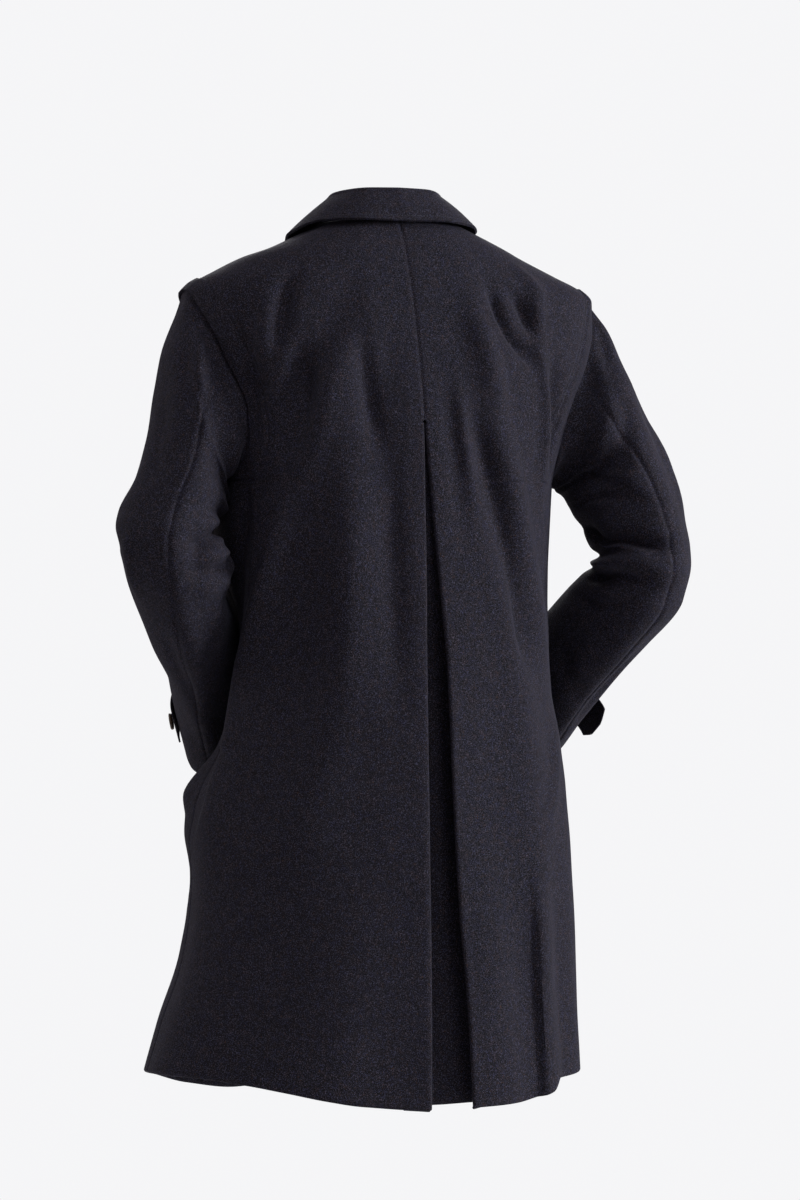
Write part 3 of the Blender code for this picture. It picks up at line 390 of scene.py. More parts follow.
# The coat's creases, each a line of places on the body. Half-width and rise in metres
# (a trough has a negative rise), how lopsided it is (positive: wider towards the wearer's
# left), the shares of its length over which its two ends die away, and its places as turn
# and height.
BODY_CREASES = {
    # left blade and shoulder
    "left shoulder tuck": (0.0082, -0.0098, 0.2, 0.35, 0.45, [
        (52, -0.045), (52.5, -0.085), (54, -0.13), (56, -0.165)]),
    "left shoulder ridge": (0.009, 0.0069, 0, 0.4, 0.4, [
        (55.8, -0.07), (58.3, -0.13), (59.8, -0.175), (60.8, -0.205)]),
    "left armhole hollow": (0.013, -0.0094, 0, 0.4, 0.4, [
        (62.6, -0.09), (63.1, -0.15), (63.6, -0.205), (63.6, -0.25)]),
    "left slanted ridge": (0.01, 0.0069, -0.2, 0.4, 0.4, [
        (48, -0.12), (52, -0.165), (56.5, -0.205), (61, -0.26)]),
    "left blade hollow": (0.0145, -0.014, 0, 0.4, 0.45, [
        (50.5, -0.11), (48.5, -0.148), (46, -0.194), (46, -0.234), (50, -0.276), (54.5, -0.318)]),
    "left blade fold": (0.019, 0.01, 0, 0.45, 0.45, [
        (30, -0.1), (36.5, -0.18), (43.5, -0.25), (51, -0.34)]),
    "left inner hollow": (0.0115, -0.0095, 0, 0.4, 0.45, [
        (25.8, -0.11), (24, -0.17), (21, -0.23), (17.5, -0.29)]),
    "left hollow": (0.014, -0.007, 0, 0.35, 0.3, [(64, -0.28), (71, -0.4), (80, -0.5), (85, -0.57)]),
    "flare edge": (0.01, 0.007, -0.45, 0.25, 0.35, [
        (52, -0.33), (60, -0.42), (68, -0.49), (76, -0.56), (78, -0.64), (80, -0.7), (84, -0.76)]),
    "left side swell": (0.042, 0.012, 0, 0.45, 0.45, [
        (104, -0.38), (108, -0.44), (112, -0.51), (116, -0.58)]),
    "left soft ridge": (0.023, 0.0085, 0, 0.4, 0.45, [
        (28, -0.22), (29.5, -0.35), (30, -0.48), (31, -0.64)]),
    "left soft valley": (0.018, -0.008, 0, 0.4, 0.45, [
        (14, -0.2), (13.5, -0.33), (12, -0.46), (10, -0.62)]),
    "left slope": (0.03, -0.009, 0, 0.35, 0.35, [
        (41, -0.23), (44, -0.33), (48, -0.45), (51, -0.6), (52, -0.72)]),
    "left line": (0.0045, 0.0016, 0, 0.3, 0.3, [(65, -0.22), (64.5, -0.32), (63.5, -0.4), (63, -0.46)]),
    "left pull": (0.006, 0.0035, 0.3, 0.3, 0.45, [(79, -0.606), (74, -0.622), (69, -0.64), (63, -0.656)]),
    "left soft": (0.026, 0.0042, 0, 0.4, 0.5, [(30, -0.42), (37, -0.56), (42, -0.72), (44, -0.86)]),
    "left side tuck": (0.038, -0.0112, 0, 0.22, 0.4, [
        (104, -0.674), (106, -0.706), (107, -0.746), (105, -0.82)]),
    "left skirt": (0.028, -0.006, 0, 0.5, 0.05, [(50, -0.72), (54, -0.85), (56, -0.96), (57, -1.05)]),
    "left sway": (0.03, 0.005, 0, 0.5, 0.05, [(24, -0.76), (28, -0.88), (30, -0.98), (31, -1.06)]),
    # right blade and shoulder
    "right shoulder tuck": (0.0072, -0.012, 0.2, 0.35, 0.35, [
        (-37.5, -0.055), (-38.2, -0.085), (-41, -0.122), (-45.5, -0.146), (-50.5, -0.176)]),
    "right second tuck": (0.006, -0.0088, -0.3, 0.35, 0.4, [
        (-45.3, -0.066), (-47.8, -0.095), (-50.8, -0.13), (-52.8, -0.15)]),
    "right shoulder ridge": (0.008, 0.0069, 0, 0.35, 0.4, [
        (-55.4, -0.03), (-53.9, -0.08), (-52.4, -0.13), (-53.4, -0.16)]),
    "right inner ridge": (0.016, 0.0088, 0, 0.4, 0.45, [
        (-26.8, -0.06), (-28.3, -0.12), (-31.3, -0.18), (-34.8, -0.26)]),
    "right armhole fold": (0.0095, 0.0081, -0.3, 0.3, 0.4, [
        (-48.1, -0.09), (-51.6, -0.136), (-54.1, -0.18), (-57.1, -0.266), (-59.1, -0.35)]),
    "right armhole hollow": (0.0085, -0.01, 0, 0.35, 0.4, [
        (-55.3, -0.14), (-58.3, -0.185), (-61.8, -0.245), (-63.3, -0.29)]),
    "right spine ridge": (0.0085, 0.005, 0, 0.4, 0.45, [
        (-15.5, -0.165), (-18, -0.225), (-21, -0.29), (-24, -0.35)]),
    "right spine hollow": (0.012, -0.0042, 0, 0.4, 0.55, [
        (-10, -0.15), (-13, -0.24), (-16.5, -0.32), (-19.5, -0.43)]),
    "right slanted ridge": (0.019, 0.0085, 0, 0.3, 0.3, [
        (-30, -0.205), (-37, -0.278), (-43.5, -0.35), (-50.5, -0.416), (-57.5, -0.482), (-65, -0.56)]),
    "right slanted hollow": (0.015, -0.013, 0, 0.2, 0.2, [
        (-21, -0.205), (-24.5, -0.244), (-29, -0.29), (-34, -0.35), (-38.5, -0.408), (-43.5, -0.47),
        (-49, -0.55)]),
    "right pull": (0.011, 0.0045, 0, 0.4, 0.4, [(-70, -0.56), (-62, -0.62), (-55, -0.68), (-50, -0.74)]),
    "right hem edge": (0.008, 0.0085, -0.6, 0.35, 0.01, [
        (-42.5, -0.74), (-42.7, -0.88), (-43, -0.972), (-43, -1.06)]),
    "right hem hollow": (0.018, -0.011, 0, 0.6, 0.01, [
        (-51, -0.7), (-52, -0.86), (-53, -0.97), (-54, -1.06)]),
    "right skirt": (0.026, 0.0055, 0, 0.5, 0.02, [(-24, -0.7), (-26, -0.85), (-28, -0.96), (-29, -1.06)]),
    "right dip": (0.022, -0.0055, 0, 0.5, 0.02, [(-35, -0.74), (-37, -0.86), (-38, -0.96), (-39, -1.06)]),
    # fronts: the pull from the pocketed hands, and the hang below
    "left arm pull": (0.015, 0.006, 0, 0.4, 0.4, [(118, -0.35), (126, -0.45), (134, -0.56), (142, -0.64)]),
    "left arm dip": (0.017, -0.0055, 0, 0.4, 0.4, [(128, -0.33), (138, -0.43), (146, -0.53), (152, -0.6)]),
    "right arm pull": (0.015, 0.006, 0, 0.4, 0.4, [
        (-120, -0.36), (-128, -0.46), (-136, -0.56), (-144, -0.64)]),
    "right arm dip": (0.016, -0.0055, 0, 0.4, 0.4, [
        (-130, -0.34), (-139, -0.44), (-148, -0.53), (-153, -0.61)]),
    "left chest": (0.019, -0.006, 0, 0.4, 0.45, [(128, -0.12), (134, -0.18), (142, -0.25), (150, -0.32)]),
    "right chest": (0.018, -0.0062, 0, 0.4, 0.45, [
        (-126, -0.11), (-133, -0.18), (-140, -0.24), (-147, -0.32)]),
    "left front hang": (0.026, 0.008, 0, 0.5, 0.01, [
        (140, -0.7), (143, -0.82), (145, -0.95), (146, -1.07)]),
    "left front dip": (0.024, -0.009, 0, 0.5, 0.01, [
        (124, -0.76), (126, -0.88), (127, -0.98), (128, -1.07)]),
    "right front hang": (0.025, 0.0075, 0, 0.5, 0.01, [
        (-142, -0.68), (-145, -0.82), (-147, -0.95), (-149, -1.07)]),
    "right front dip": (0.024, -0.008, 0, 0.5, 0.01, [
        (-130, -0.74), (-132, -0.88), (-133, -0.98), (-134, -1.07)]),
    "centre hang": (0.026, -0.0055, 0, 0.5, 0.01, [(163, -0.64), (162, -0.8), (161, -0.95), (160, -1.07)]),
}

# The same for the sleeves, their places as angle round the sleeve and station. Here a
# positive lopsidedness makes a cross fold wider towards the shoulder.
LEFT_SLEEVE_CREASES = {
    "elbow deep": (0.009, -0.0125, 0.45, 0.3, 0.25, [
        (212, 6.3), (182, 6.42), (152, 6.62), (126, 6.98), (112, 7.2), (100, 7.4), (90, 7.55)]),
    "elbow roll": (0.009, 0.0072, 0, 0.3, 0.3, [
        (176, 7.2), (150, 7.3), (126, 7.44), (110, 7.57), (98, 7.68)]),
    "arm inner swell": (0.034, 0.021, 0, 0.3, 0.25, [
        (168, 1.8), (176, 2.8), (182, 3.8), (186, 4.8), (186, 5.6)]),
    "elbow second": (0.0075, -0.0068, 0.2, 0.35, 0.3, [
        (162, 8.02), (142, 7.9), (118, 7.8), (100, 7.84), (86, 7.92)]),
    "elbow low roll": (0.015, 0.0055, 0, 0.35, 0.35, [(172, 8.4), (145, 8.25), (112, 8.15), (88, 8.1)]),
    "elbow lobe": (0.026, 0.008, 0, 0.3, 0.3, [(206, 7.7), (190, 7.75), (176, 7.8), (162, 7.8)]),
    "elbow low dip": (0.016, -0.005, 0, 0.35, 0.4, [(205, 9.25), (178, 9.2), (150, 9), (120, 8.85)]),
    "elbow upper": (0.012, -0.004, 0.2, 0.35, 0.4, [
        (205, 5.3), (172, 5.45), (140, 5.75), (112, 6.1), (96, 6.35)]),
    "arm notch": (0.011, -0.0035, 0, 0.35, 0.4, [(192, 1.9), (168, 2.3), (142, 3), (118, 3.7)]),
    "under swell": (0.028, 0.011, 0, 0.25, 0.3, [
        (126, 0.5), (132, 1.4), (138, 2.3), (144, 3.1), (150, 3.8)]),
    "head fold": (0.0085, 0.006, 0, 0.35, 0.3, [(44, 0.6), (56, 1.15), (68, 1.65), (80, 2.15)]),
    "head dip": (0.011, -0.005, 0, 0.35, 0.4, [(40, 1.4), (52, 2), (64, 2.6), (74, 3.2)]),
    "outer dip": (0.016, -0.005, 0, 0.4, 0.45, [(20, 2.4), (30, 3.6), (40, 4.8), (50, 5.9)]),
    "fore ridge": (0.011, 0.005, 0, 0.35, 0.45, [(96, 8.6), (88, 9.4), (92, 10.3), (100, 11.2)]),
    "fore dip": (0.01, -0.005, 0, 0.4, 0.4, [(62, 8.9), (58, 9.9), (64, 10.9), (72, 11.8)]),
    "fore cross": (0.01, -0.0035, 0, 0.4, 0.4, [(150, 9.8), (118, 10.15), (84, 10.5), (52, 10.8)]),
    "fore fold": (0.009, 0.004, 0, 0.4, 0.4, [(40, 6.6), (30, 7.3), (24, 8.2), (28, 9.2)]),
    "cuff fold": (0.0095, -0.0035, 0, 0.4, 0.3, [(110, 11.2), (90, 11.7), (60, 12.1), (30, 12.4)]),
    "front elbow": (0.011, -0.007, 0, 0.4, 0.4, [(-80, 7.1), (-50, 7), (-20, 7.2), (8, 7.6)]),
    "hind ridge": (0.02, 0.008, 0, 0.15, 0.1, [
        (94, 1.2), (98, 2.2), (98, 3.4), (96, 4.7), (90, 6), (82, 7.2), (78, 9), (76, 11), (72, 12.9)]),
    "inner swell": (0.024, 0.009, 0, 0.35, 0.35, [(186, 9.2), (184, 10), (184, 10.8), (186, 11.6)]),
}
RIGHT_SLEEVE_CREASES = {
    "hind ridge": (0.025, 0.01, 0, 0.15, 0.1, [
        (80, 0.9), (84, 2.6), (84, 4.05), (86, 4.9), (78, 6), (74, 6.9), (82, 7.6), (96, 9), (90, 10.8),
        (84, 12.9)]),
    "armpit hollow": (0.028, -0.011, 0, 0.3, 0.3, [
        (150, 0.4), (146, 1.6), (138, 3), (130, 4.4), (126, 5.4)]),
    "elbow deep": (0.0088, -0.0125, 0.42, 0.25, 0.3, [
        (214, 5.3), (190, 5.7), (162, 6.42), (138, 6.48), (112, 6.66), (88, 6.8), (64, 6.7)]),
    "elbow roll": (0.0095, 0.0075, 0, 0.3, 0.35, [
        (196, 7.18), (150, 7.14), (124, 7.08), (98, 7.14), (74, 7.1)]),
    "elbow second": (0.0082, -0.0098, 0.25, 0.3, 0.35, [
        (196, 8.2), (166, 7.9), (138, 7.5), (110, 7.54), (84, 7.6)]),
    "elbow third": (0.009, -0.0055, 0, 0.35, 0.35, [(186, 8.75), (152, 8.62), (120, 8.25), (92, 7.95)]),
    "elbow upper": (0.009, -0.005, 0.2, 0.35, 0.4, [
        (200, 4.4), (172, 4.55), (140, 4.9), (110, 5.4), (88, 5.8)]),
    "under crease": (0.0095, -0.005, 0, 0.35, 0.4, [(226, 2.3), (182, 2.85), (134, 3.55), (106, 4.7)]),
    "light edge": (0.0072, 0.0052, 0.4, 0.3, 0.35, [
        (158, 2.6), (142, 3.05), (122, 4.1), (107, 4.72), (102, 5.2), (98, 5.6)]),
    "upper arm dip": (0.012, -0.005, 0, 0.4, 0.45, [(64, 1.5), (74, 2.6), (88, 3.6), (98, 4.4)]),
    "upper arm ridge": (0.013, 0.005, 0, 0.4, 0.45, [(96, 1.4), (106, 2.3), (116, 3.2), (124, 4)]),
    "outer dip": (0.015, -0.005, 0, 0.4, 0.45, [(30, 2.6), (40, 3.8), (48, 4.9), (58, 5.8)]),
    "outer ridge": (0.013, 0.004, 0, 0.4, 0.45, [(14, 3.4), (22, 4.6), (30, 5.7), (40, 6.5)]),
    "fore ridge": (0.011, 0.005, 0, 0.35, 0.45, [(140, 8.9), (120, 9.6), (112, 10.4), (108, 11.3)]),
    "fore cross": (0.01, -0.005, 0, 0.4, 0.4, [(158, 9.6), (130, 10.05), (98, 10.4), (66, 10.6)]),
    "fore dip": (0.01, -0.005, 0, 0.4, 0.4, [(60, 8.6), (56, 9.6), (62, 10.6), (70, 11.6)]),
    "front elbow": (0.011, -0.007, 0, 0.4, 0.4, [(-80, 7.3), (-50, 7.2), (-20, 7.4), (8, 7.7)]),
    "head ease": (0.014, -0.003, 0, 0.4, 0.5, [(38, 0.3), (46, 0.9), (54, 1.6), (60, 2.3)]),
}
SLEEVE_CREASES = {"left": LEFT_SLEEVE_CREASES, "right": RIGHT_SLEEVE_CREASES}


def smooth_line(places, steps=5):
    """Points of a smooth curve drawn through the places."""
    p = np.array(places, dtype=float)
    p = np.vstack([2 * p[0] - p[1], p, 2 * p[-1] - p[-2]])
    t = np.linspace(0, 1, steps, endpoint=False)[:, None]
    drawn = []
    for a, b, c, d in zip(p[:-3], p[1:-2], p[2:-1], p[3:]):
        cubic = (-a + 3 * b - 3 * c + d) * t ** 3
        drawn.append(0.5 * (2 * b + (c - a) * t + (2 * a - 5 * b + 4 * c - d) * t ** 2 + cubic))
    drawn.append(p[-2][None])
    return np.vstack(drawn)


def crease_rise(across, down, creases, reach_across, reach_down):
    """How far creases push the cloth out at places given in their own two measures."""
    across = np.asarray(across, dtype=float) * reach_across
    down = np.asarray(down, dtype=float) * reach_down
    rise = np.zeros(np.broadcast(across, down).shape)
    for width, out, skew, top_end, low_end, places in creases.values():
        line = smooth_line(places) * [reach_across, reach_down]
        steps = np.diff(line, axis=0)
        lengths = np.linalg.norm(steps, axis=1)
        run = np.concatenate([[0], np.cumsum(lengths)]) / lengths.sum()
        ends = fade(run, 0, top_end) * (1 - fade(run, 1 - low_end, 1))
        nearest = np.full(rise.shape, 1e9)
        here = np.zeros(rise.shape)
        for a, step, length, end_a, end_b in zip(line, steps, lengths, ends[:-1], ends[1:]):
            du = across - a[0]
            dv = down - a[1]
            along = np.clip((du * step[0] + dv * step[1]) / length ** 2, 0, 1)
            beside = (step[0] * dv - step[1] * du) / length
            wide = width * (1 + skew * np.tanh(beside / (0.4 * width)))
            apart = ((du - along * step[0]) ** 2 + (dv - along * step[1]) ** 2) / wide ** 2
            closer = apart < nearest
            nearest = np.where(closer, apart, nearest)
            here = np.where(closer, end_a + (end_b - end_a) * along, here)
        rise = rise + out * here * np.exp(-nearest)
    return rise


# Slow unevenness of hanging cloth: waves across and down (per metre), phase and size.
WAVES = [
    (21.0, 9.0, 0.4, 0.00050), (-13.0, 27.0, 1.9, 0.00045), (37.0, -17.0, 4.1, 0.00030),
    (52.0, 31.0, 2.2, 0.00020), (-71.0, 43.0, 5.3, 0.00014), (96.0, 67.0, 0.9, 0.00009),
    (-118.0, 97.0, 3.7, 0.00006), (45.0, -88.0, 1.2, 0.00012),
]


def waves(u, v):
    rise = 0.0
    for along_u, along_v, phase, size in WAVES:
        bend = 1.3 * np.sin(9.0 * v - 5.0 * u + phase)
        rise = rise + size * np.sin(along_u * u + along_v * v + phase + bend)
    return rise


# The same round a sleeve: whole waves round it, waves down it (per metre), phase and size.
ARM_WAVES = [
    (2, 19.0, 0.7, 0.0008), (3, -31.0, 2.1, 0.0007), (4, 43.0, 4.0, 0.0005), (5, -58.0, 1.3, 0.0004),
    (7, 83.0, 5.1, 0.0002), (9, -127.0, 2.9, 0.0001),
]


def arm_waves(side, turn, v):
    rise = 0.0
    for around, along_v, phase, size in ARM_WAVES:
        bend = 1.1 * np.sin(11.0 * v + 2 * phase)
        rise = rise + size * np.sin(around * turn + along_v * v + side * phase + bend)
    return rise


# ---------------- dressed body surface
SEAM_DIP = 0.0012          # how deep a plain seam lies
SEAM_SPREAD = 0.0024
ARM_SEAM_DIP = 0.0019
PLEAT_STAND = 0.022        # how far the skirt stands out at its hanging pleat
PLEAT_SPREAD = 0.190       # how far round the body that reaches
PLEAT_LEAN = np.array([0.276, 0.961, 0.0])   # the way it stands out
STAND_LEVELS = (-0.30, -0.85)     # heights between which it grows
PLEAT_MIDDLE = -4.0        # turn of the pleat's middle
PLEAT_HALF = 0.012         # half-width of the strip that stands out in full
NECK_LEVELS = (-0.05, 0.01)       # heights between which the creases die away upwards
CALM_REACH = (0.002, 0.024)       # how far from the shoulder seam they begin, and are whole
CALM_LEVELS = (-0.160, -0.100)    # heights between which that seam comes to calm them
PLACE_STEP_TURN = 0.5      # steps over which the slope of the cloth is measured
PLACE_STEP_HEIGHT = 0.0008


def slope_away(run):
    """1 beside the pleat, falling ever more gently to 0 at PLEAT_SPREAD."""
    share = np.clip(run / PLEAT_SPREAD, 0, 1)
    return (1 - share) ** 2


def centre_run(turn):
    """Distance round the body from the strip at the pleat."""
    return np.maximum(np.abs(np.radians(turn - PLEAT_MIDDLE) * BODY_REACH) - PLEAT_HALF, 0.0)


def body_at(turn, height, depth=0.0):
    """Points of the creased cloth at a depth below its outer face."""
    turn = np.asarray(turn, dtype=float)
    height = np.asarray(height, dtype=float)
    points = body(turn, height)
    round_way = body(turn + PLACE_STEP_TURN, height) - body(turn - PLACE_STEP_TURN, height)
    up_way = body(turn, height + PLACE_STEP_HEIGHT) - body(turn, height - PLACE_STEP_HEIGHT)
    normal = unit(np.cross(up_way, round_way))
    rise = crease_rise(turn, height, BODY_CREASES, radians(1) * BODY_REACH, 1.0)
    stand = PLEAT_STAND * slope_away(centre_run(turn)) * fade(height, *STAND_LEVELS)
    stand = stand * (np.abs(turn) < 90)
    seamed = 1 - fade(np.abs(points[..., 1]), *CALM_REACH)
    seamed = seamed * fade(height, *CALM_LEVELS)
    calm = (1 - fade(height, *NECK_LEVELS)) * (1 - seamed)
    uneven = waves(np.radians(turn) * BODY_REACH, height) * (0.35 + 0.65 * calm) * (1 - seamed)
    rise = rise * calm + uneven
    seam = bump(points[..., 1], SEAM_SPREAD)
    centre = points[..., 0] - CENTRE.read("across", height)
    sewn = (points[..., 1] > 0) * fade(height, PLEAT_TOP - 0.02, PLEAT_TOP + 0.01)
    seam = seam + bump(centre, SEAM_SPREAD) * sewn
    points = points + stand[..., None] * PLEAT_LEAN
    return points + normal * (rise - SEAM_DIP * seam - np.asarray(depth))[..., None]


# ---------------- body panels
PLEAT_RECESS = 0.023       # how much deeper the open pleat lies at its foot
RECESS_FOOT = -0.62        # height from which it lies that deep
PANEL_FOOT = -1.04         # level at which the hem's places across are spaced
UNDERLAY_FOOT = -1.034     # height of the underlay's lower edge
UNDERLAY_HEAD = 0.012      # it starts this far above the top of the open pleat
UPPER_ROWS = 74            # rows between the top edge and the underarm
LOWER_ROWS = 176           # rows between the underarm and the hem
EDGE_BAND = 0.17           # share of a panel's width, next to its outer edge, with fine columns
INNER_BAND = 0.035         # the same next to its inner edge
STITCH_ROWS = (0.0270, 0.0335)   # the two rows of armhole topstitching, from the edge
STITCH_WIDTH = 0.0017      # half-width of the dent that a row makes
STITCH_DENT = 0.0011
UNSTITCHED_ROWS = 12       # grid rows above the underarm where the rows of stitches stop
LAP_RISE = 0.0017          # the seam allowance under the lapped edge lifts it this far


def column_shares(wide_columns, fine_columns):
    """Where the columns stand across a panel, in shares of its width along the cloth."""
    inner = np.linspace(0, INNER_BAND, 8)
    wide = np.linspace(INNER_BAND, 1 - EDGE_BAND, wide_columns + 1)
    fine = np.linspace(1 - EDGE_BAND, 1, fine_columns + 1)
    return np.concatenate([inner, wide[1:], fine[1:]])


def run_along(points):
    """Length along each row of a grid, from its first point."""
    steps = np.linalg.norm(np.diff(points, axis=1), axis=-1)
    return np.concatenate([np.zeros((points.shape[0], 1)), np.cumsum(steps, axis=1)], axis=1)


def panel_places(side, behind, shares, inner_edge):
    """Places across and heights of a panel's grid, evenly spaced along the cloth."""
    dense = np.sin(np.linspace(0, pi / 2, 161))

    def spread(first, last):
        return first + (last - first) * dense

    tip = armhole_edge(side, behind, SHOULDER_TIP)
    top = top_height(side, behind, spread(inner_edge(NECK_BACK), tip))
    level = np.linspace(0, 1, UPPER_ROWS + 1)[:, None]
    upper_z = top * (1 - level) + UNDERARM * level
    upper_x = spread(inner_edge(upper_z), armhole_edge(side, behind, upper_z[:, -1:]))
    level = np.linspace(0, 1, LOWER_ROWS + 1)[1:, None]
    foot = np.array([[PANEL_FOOT]])
    foot_x = spread(inner_edge(foot), side * half_width(side, foot))
    hem = HEM.read("height", turn_of(foot_x, behind, foot)) + HEM_RADIUS
    lower_z = UNDERARM * (1 - level) + hem * level
    lower_x = spread(inner_edge(lower_z), side * half_width(side, lower_z))
    x = np.concatenate([upper_x, lower_x])
    z = np.concatenate([upper_z, lower_z])
    run = run_along(body(turn_of(x, behind, z), z))
    at = shares * run[:, -1:]
    across, height = [np.array([np.interp(a, r, row) for a, r, row in zip(at, run, values)])
                      for values in (x, z)]
    height[0] = top_height(side, behind, across[0])
    return across, height, run[:, -1:] - at


def armhole_edge(side, behind, height):
    return side * ARMHOLE.read(("back_" if behind else "front_") + side_name(side), height)


def lap_profile(from_edge, height):
    """The lapped armhole: a raised band, sewn down along two rows."""
    band = LAP_RISE * (1 - fade(from_edge, STITCH_ROWS[0] - 0.005, STITCH_ROWS[0]))
    sewn = sum(bump(from_edge - row, STITCH_WIDTH) for row in STITCH_ROWS)
    return (band - STITCH_DENT * sewn) * fade(height, UNDERARM + 0.008, UNDERARM + 0.045)


def hem_rows(turn, height, depth):
    """Adds the turned hem below a panel's grid of turns, heights and depths."""
    arc = np.radians([26, 52, 77, 103, 128, 154, 180])[:, None]
    low = height[-1:] + HEM_RADIUS * -np.sin(arc)
    low_depth = depth[-1:] + HEM_RADIUS * (1 - np.cos(arc))
    rise = np.array([0.006, 0.014, 0.024, HEM_RETURN])[:, None]
    back = height[-1:] + rise
    back_depth = depth[-1:] + 2 * HEM_RADIUS + 0 * back
    turns = np.repeat(turn[-1:], len(arc) + len(rise), axis=0)
    return (np.concatenate([turn, turns]), np.concatenate([height, low, back]),
            np.concatenate([depth, low_depth, back_depth]))


def is_sewn(heights):
    """Whether the centre back is sewn shut at these heights."""
    return heights > PLEAT_TOP + 0.0001


def fold_line(side, heights):
    """Where a back half ends: at the centre seam, or at its pressed pleat edge."""
    opening = 0.0 if side > 0 else PLEAT.read("opening", heights)
    return CENTRE.read("across", heights) + side * SEAM_GAP / 2 - opening


def back_inner_edge(side):
    """Where the flat of a back half begins: beside the seam, or past the pleat fold."""
    def edge(heights):
        fold = np.where(is_sewn(heights), 0.0, FOLD_RADIUS)
        return fold_line(side, heights) + side * fold
    return edge


def pleat_recess(height):
    """How much deeper the bottom of the pleat lies where it hangs open."""
    return PLEAT_RECESS * fade(height, PLEAT_TOP - 0.02, RECESS_FOOT)


def back_panel(side):
    """Grid of a back half, with its pressed fold, its return and its turned hem."""
    x, z, from_edge = panel_places(side, True, column_shares(58, 30), back_inner_edge(side))
    flat = -lap_profile(from_edge, z)
    arc = np.radians([180, 154, 129, 103, 77, 51, 26])
    returns = PLEAT_RETURN * np.array([1, 0.75, 0.5, 0.25])
    steps = np.concatenate([FOLD_RADIUS + returns, FOLD_RADIUS * (1 - np.sin(arc))])
    depths = np.concatenate([0 * returns + 2 * FOLD_RADIUS, FOLD_RADIUS * (1 - np.cos(arc))])
    fold_z = z[:, :1] + 0 * steps
    fold_x = fold_line(side, fold_z) + side * steps
    inward = np.concatenate([returns / PLEAT_RETURN, 0 * arc])
    depths = depths + pleat_recess(fold_z) * inward
    height = np.concatenate([fold_z, z], axis=1)
    turn = turn_of(np.concatenate([fold_x, x], axis=1), True, height)
    depth = np.concatenate([depths + 0 * fold_x, flat], axis=1)
    rows = len(height)
    turn, height, depth = hem_rows(turn, height, depth)
    keep = np.ones((height.shape[0] - 1, height.shape[1] - 1), dtype=bool)
    keep[:rows - 1][is_sewn(z[:-1, 0]), :len(steps)] = False
    keep[rows + 2:, :len(steps)] = False
    return body_at(turn, height, depth), keep, len(steps)


def front_panel(side):
    """Grid of a front; the right one sinks under the left where they lap."""
    inner = -side * FRONT_LAP
    shares = column_shares(50, 24)
    x, z, from_edge = panel_places(side, False, shares, lambda heights: inner + 0 * heights)
    under = fade(x, -FRONT_LAP - 0.022, -FRONT_LAP - 0.004) if side < 0 else 0 * x
    depth = LAP_DEPTH * under - lap_profile(from_edge, z)
    turn, height, depth = hem_rows(turn_of(x, False, z), z, depth)
    return body_at(turn, height, depth)


def pleat_underlay():
    """Grid of the cloth that closes the pleat behind its two edges."""
    heights = np.linspace(PLEAT_TOP + UNDERLAY_HEAD, UNDERLAY_FOOT, 180)[:, None]
    reach = FOLD_RADIUS + PLEAT_RETURN
    left = fold_line(1, heights) + reach
    right = fold_line(-1, heights) - reach
    x = right + (left - right) * np.linspace(0, 1, 26)
    z = heights + 0 * x
    depth = 2 * FOLD_RADIUS + UNDERLAY_GAP + pleat_recess(z)
    return body_at(turn_of(x, True, z), z, depth)


# ---------------- sleeves
SWELL_REACH = 0.06         # a crease's rise is taken as a share of this half-width
ARMHOLE_MIDDLE = (0.215, 0.005)   # middle of an armhole, across and front to back
BUTTED = (118, 142)        # degrees from the top: lapped before, edge to edge after
LAPPED_TUCK = (0.0040, -0.0014)   # how far past the edge the head's first and last rings lie
BUTTED_TUCK = (0.0006, -0.0030)   # the same where the two are edge to edge
HEAD_END = 2.6             # stations over which the head fairs into the tube
CUFF_TURN = 0.06           # stations that the curve of the turned cuff takes
ARM_SEAM_SHARE = 0.6       # a sleeve's two pieces press together by this share of SEAM_GAP


def sleeve_tube(side, angle, station, depth=0.0):
    """Points of a sleeve's outer face before it joins the armhole; left is side 1."""
    name = side_name(side)
    table = SLEEVES[name]
    station = np.asarray(station, dtype=float)
    read = {column: table.read(column, station) for column in table.names}
    angle = (np.asarray(angle, dtype=float) - FORE_SEAM) % 360 + FORE_SEAM
    turn = np.radians(angle)
    rim = np.abs(np.cos(turn)) ** SLEEVE_SQUARE + np.abs(np.sin(turn)) ** SLEEVE_SQUARE
    rim = rim ** (-1 / SLEEVE_SQUARE)
    crease = np.zeros(np.broadcast(turn, station).shape)
    for at, middle, half_station, half_angle, out in ROUND_CREASES[name]:
        apart = (angle - middle + 180) % 360 - 180
        crease = crease + out * bump(station - at, half_station) * bump(apart, half_angle)
    lines = crease_rise(angle, station, SLEEVE_CREASES[name], radians(1) * ARM_REACH, STATION_LENGTH)
    crease = crease + lines + arm_waves(side, turn, station * STATION_LENGTH)
    to_seam = np.radians(angle - read["hind_seam"]) * ARM_REACH
    crease = crease - ARM_SEAM_DIP * bump(to_seam, SEAM_SPREAD) - depth
    swell = rim * (1 + crease / SWELL_REACH)
    c = swell * np.cos(turn)
    s = swell * np.sin(turn)
    mid_x = (read["out_x"] + read["in_x"]) / 2
    mid_z = (read["out_z"] + read["in_z"]) / 2
    x = mid_x + c * (read["out_x"] - read["in_x"]) / 2
    y = read["mid_y"] + s * read["half_y"]
    z = mid_z + c * (read["out_z"] - read["in_z"]) / 2 + s * read["back_rise"]
    return np.stack(np.broadcast_arrays(side * x, y, z), axis=-1)


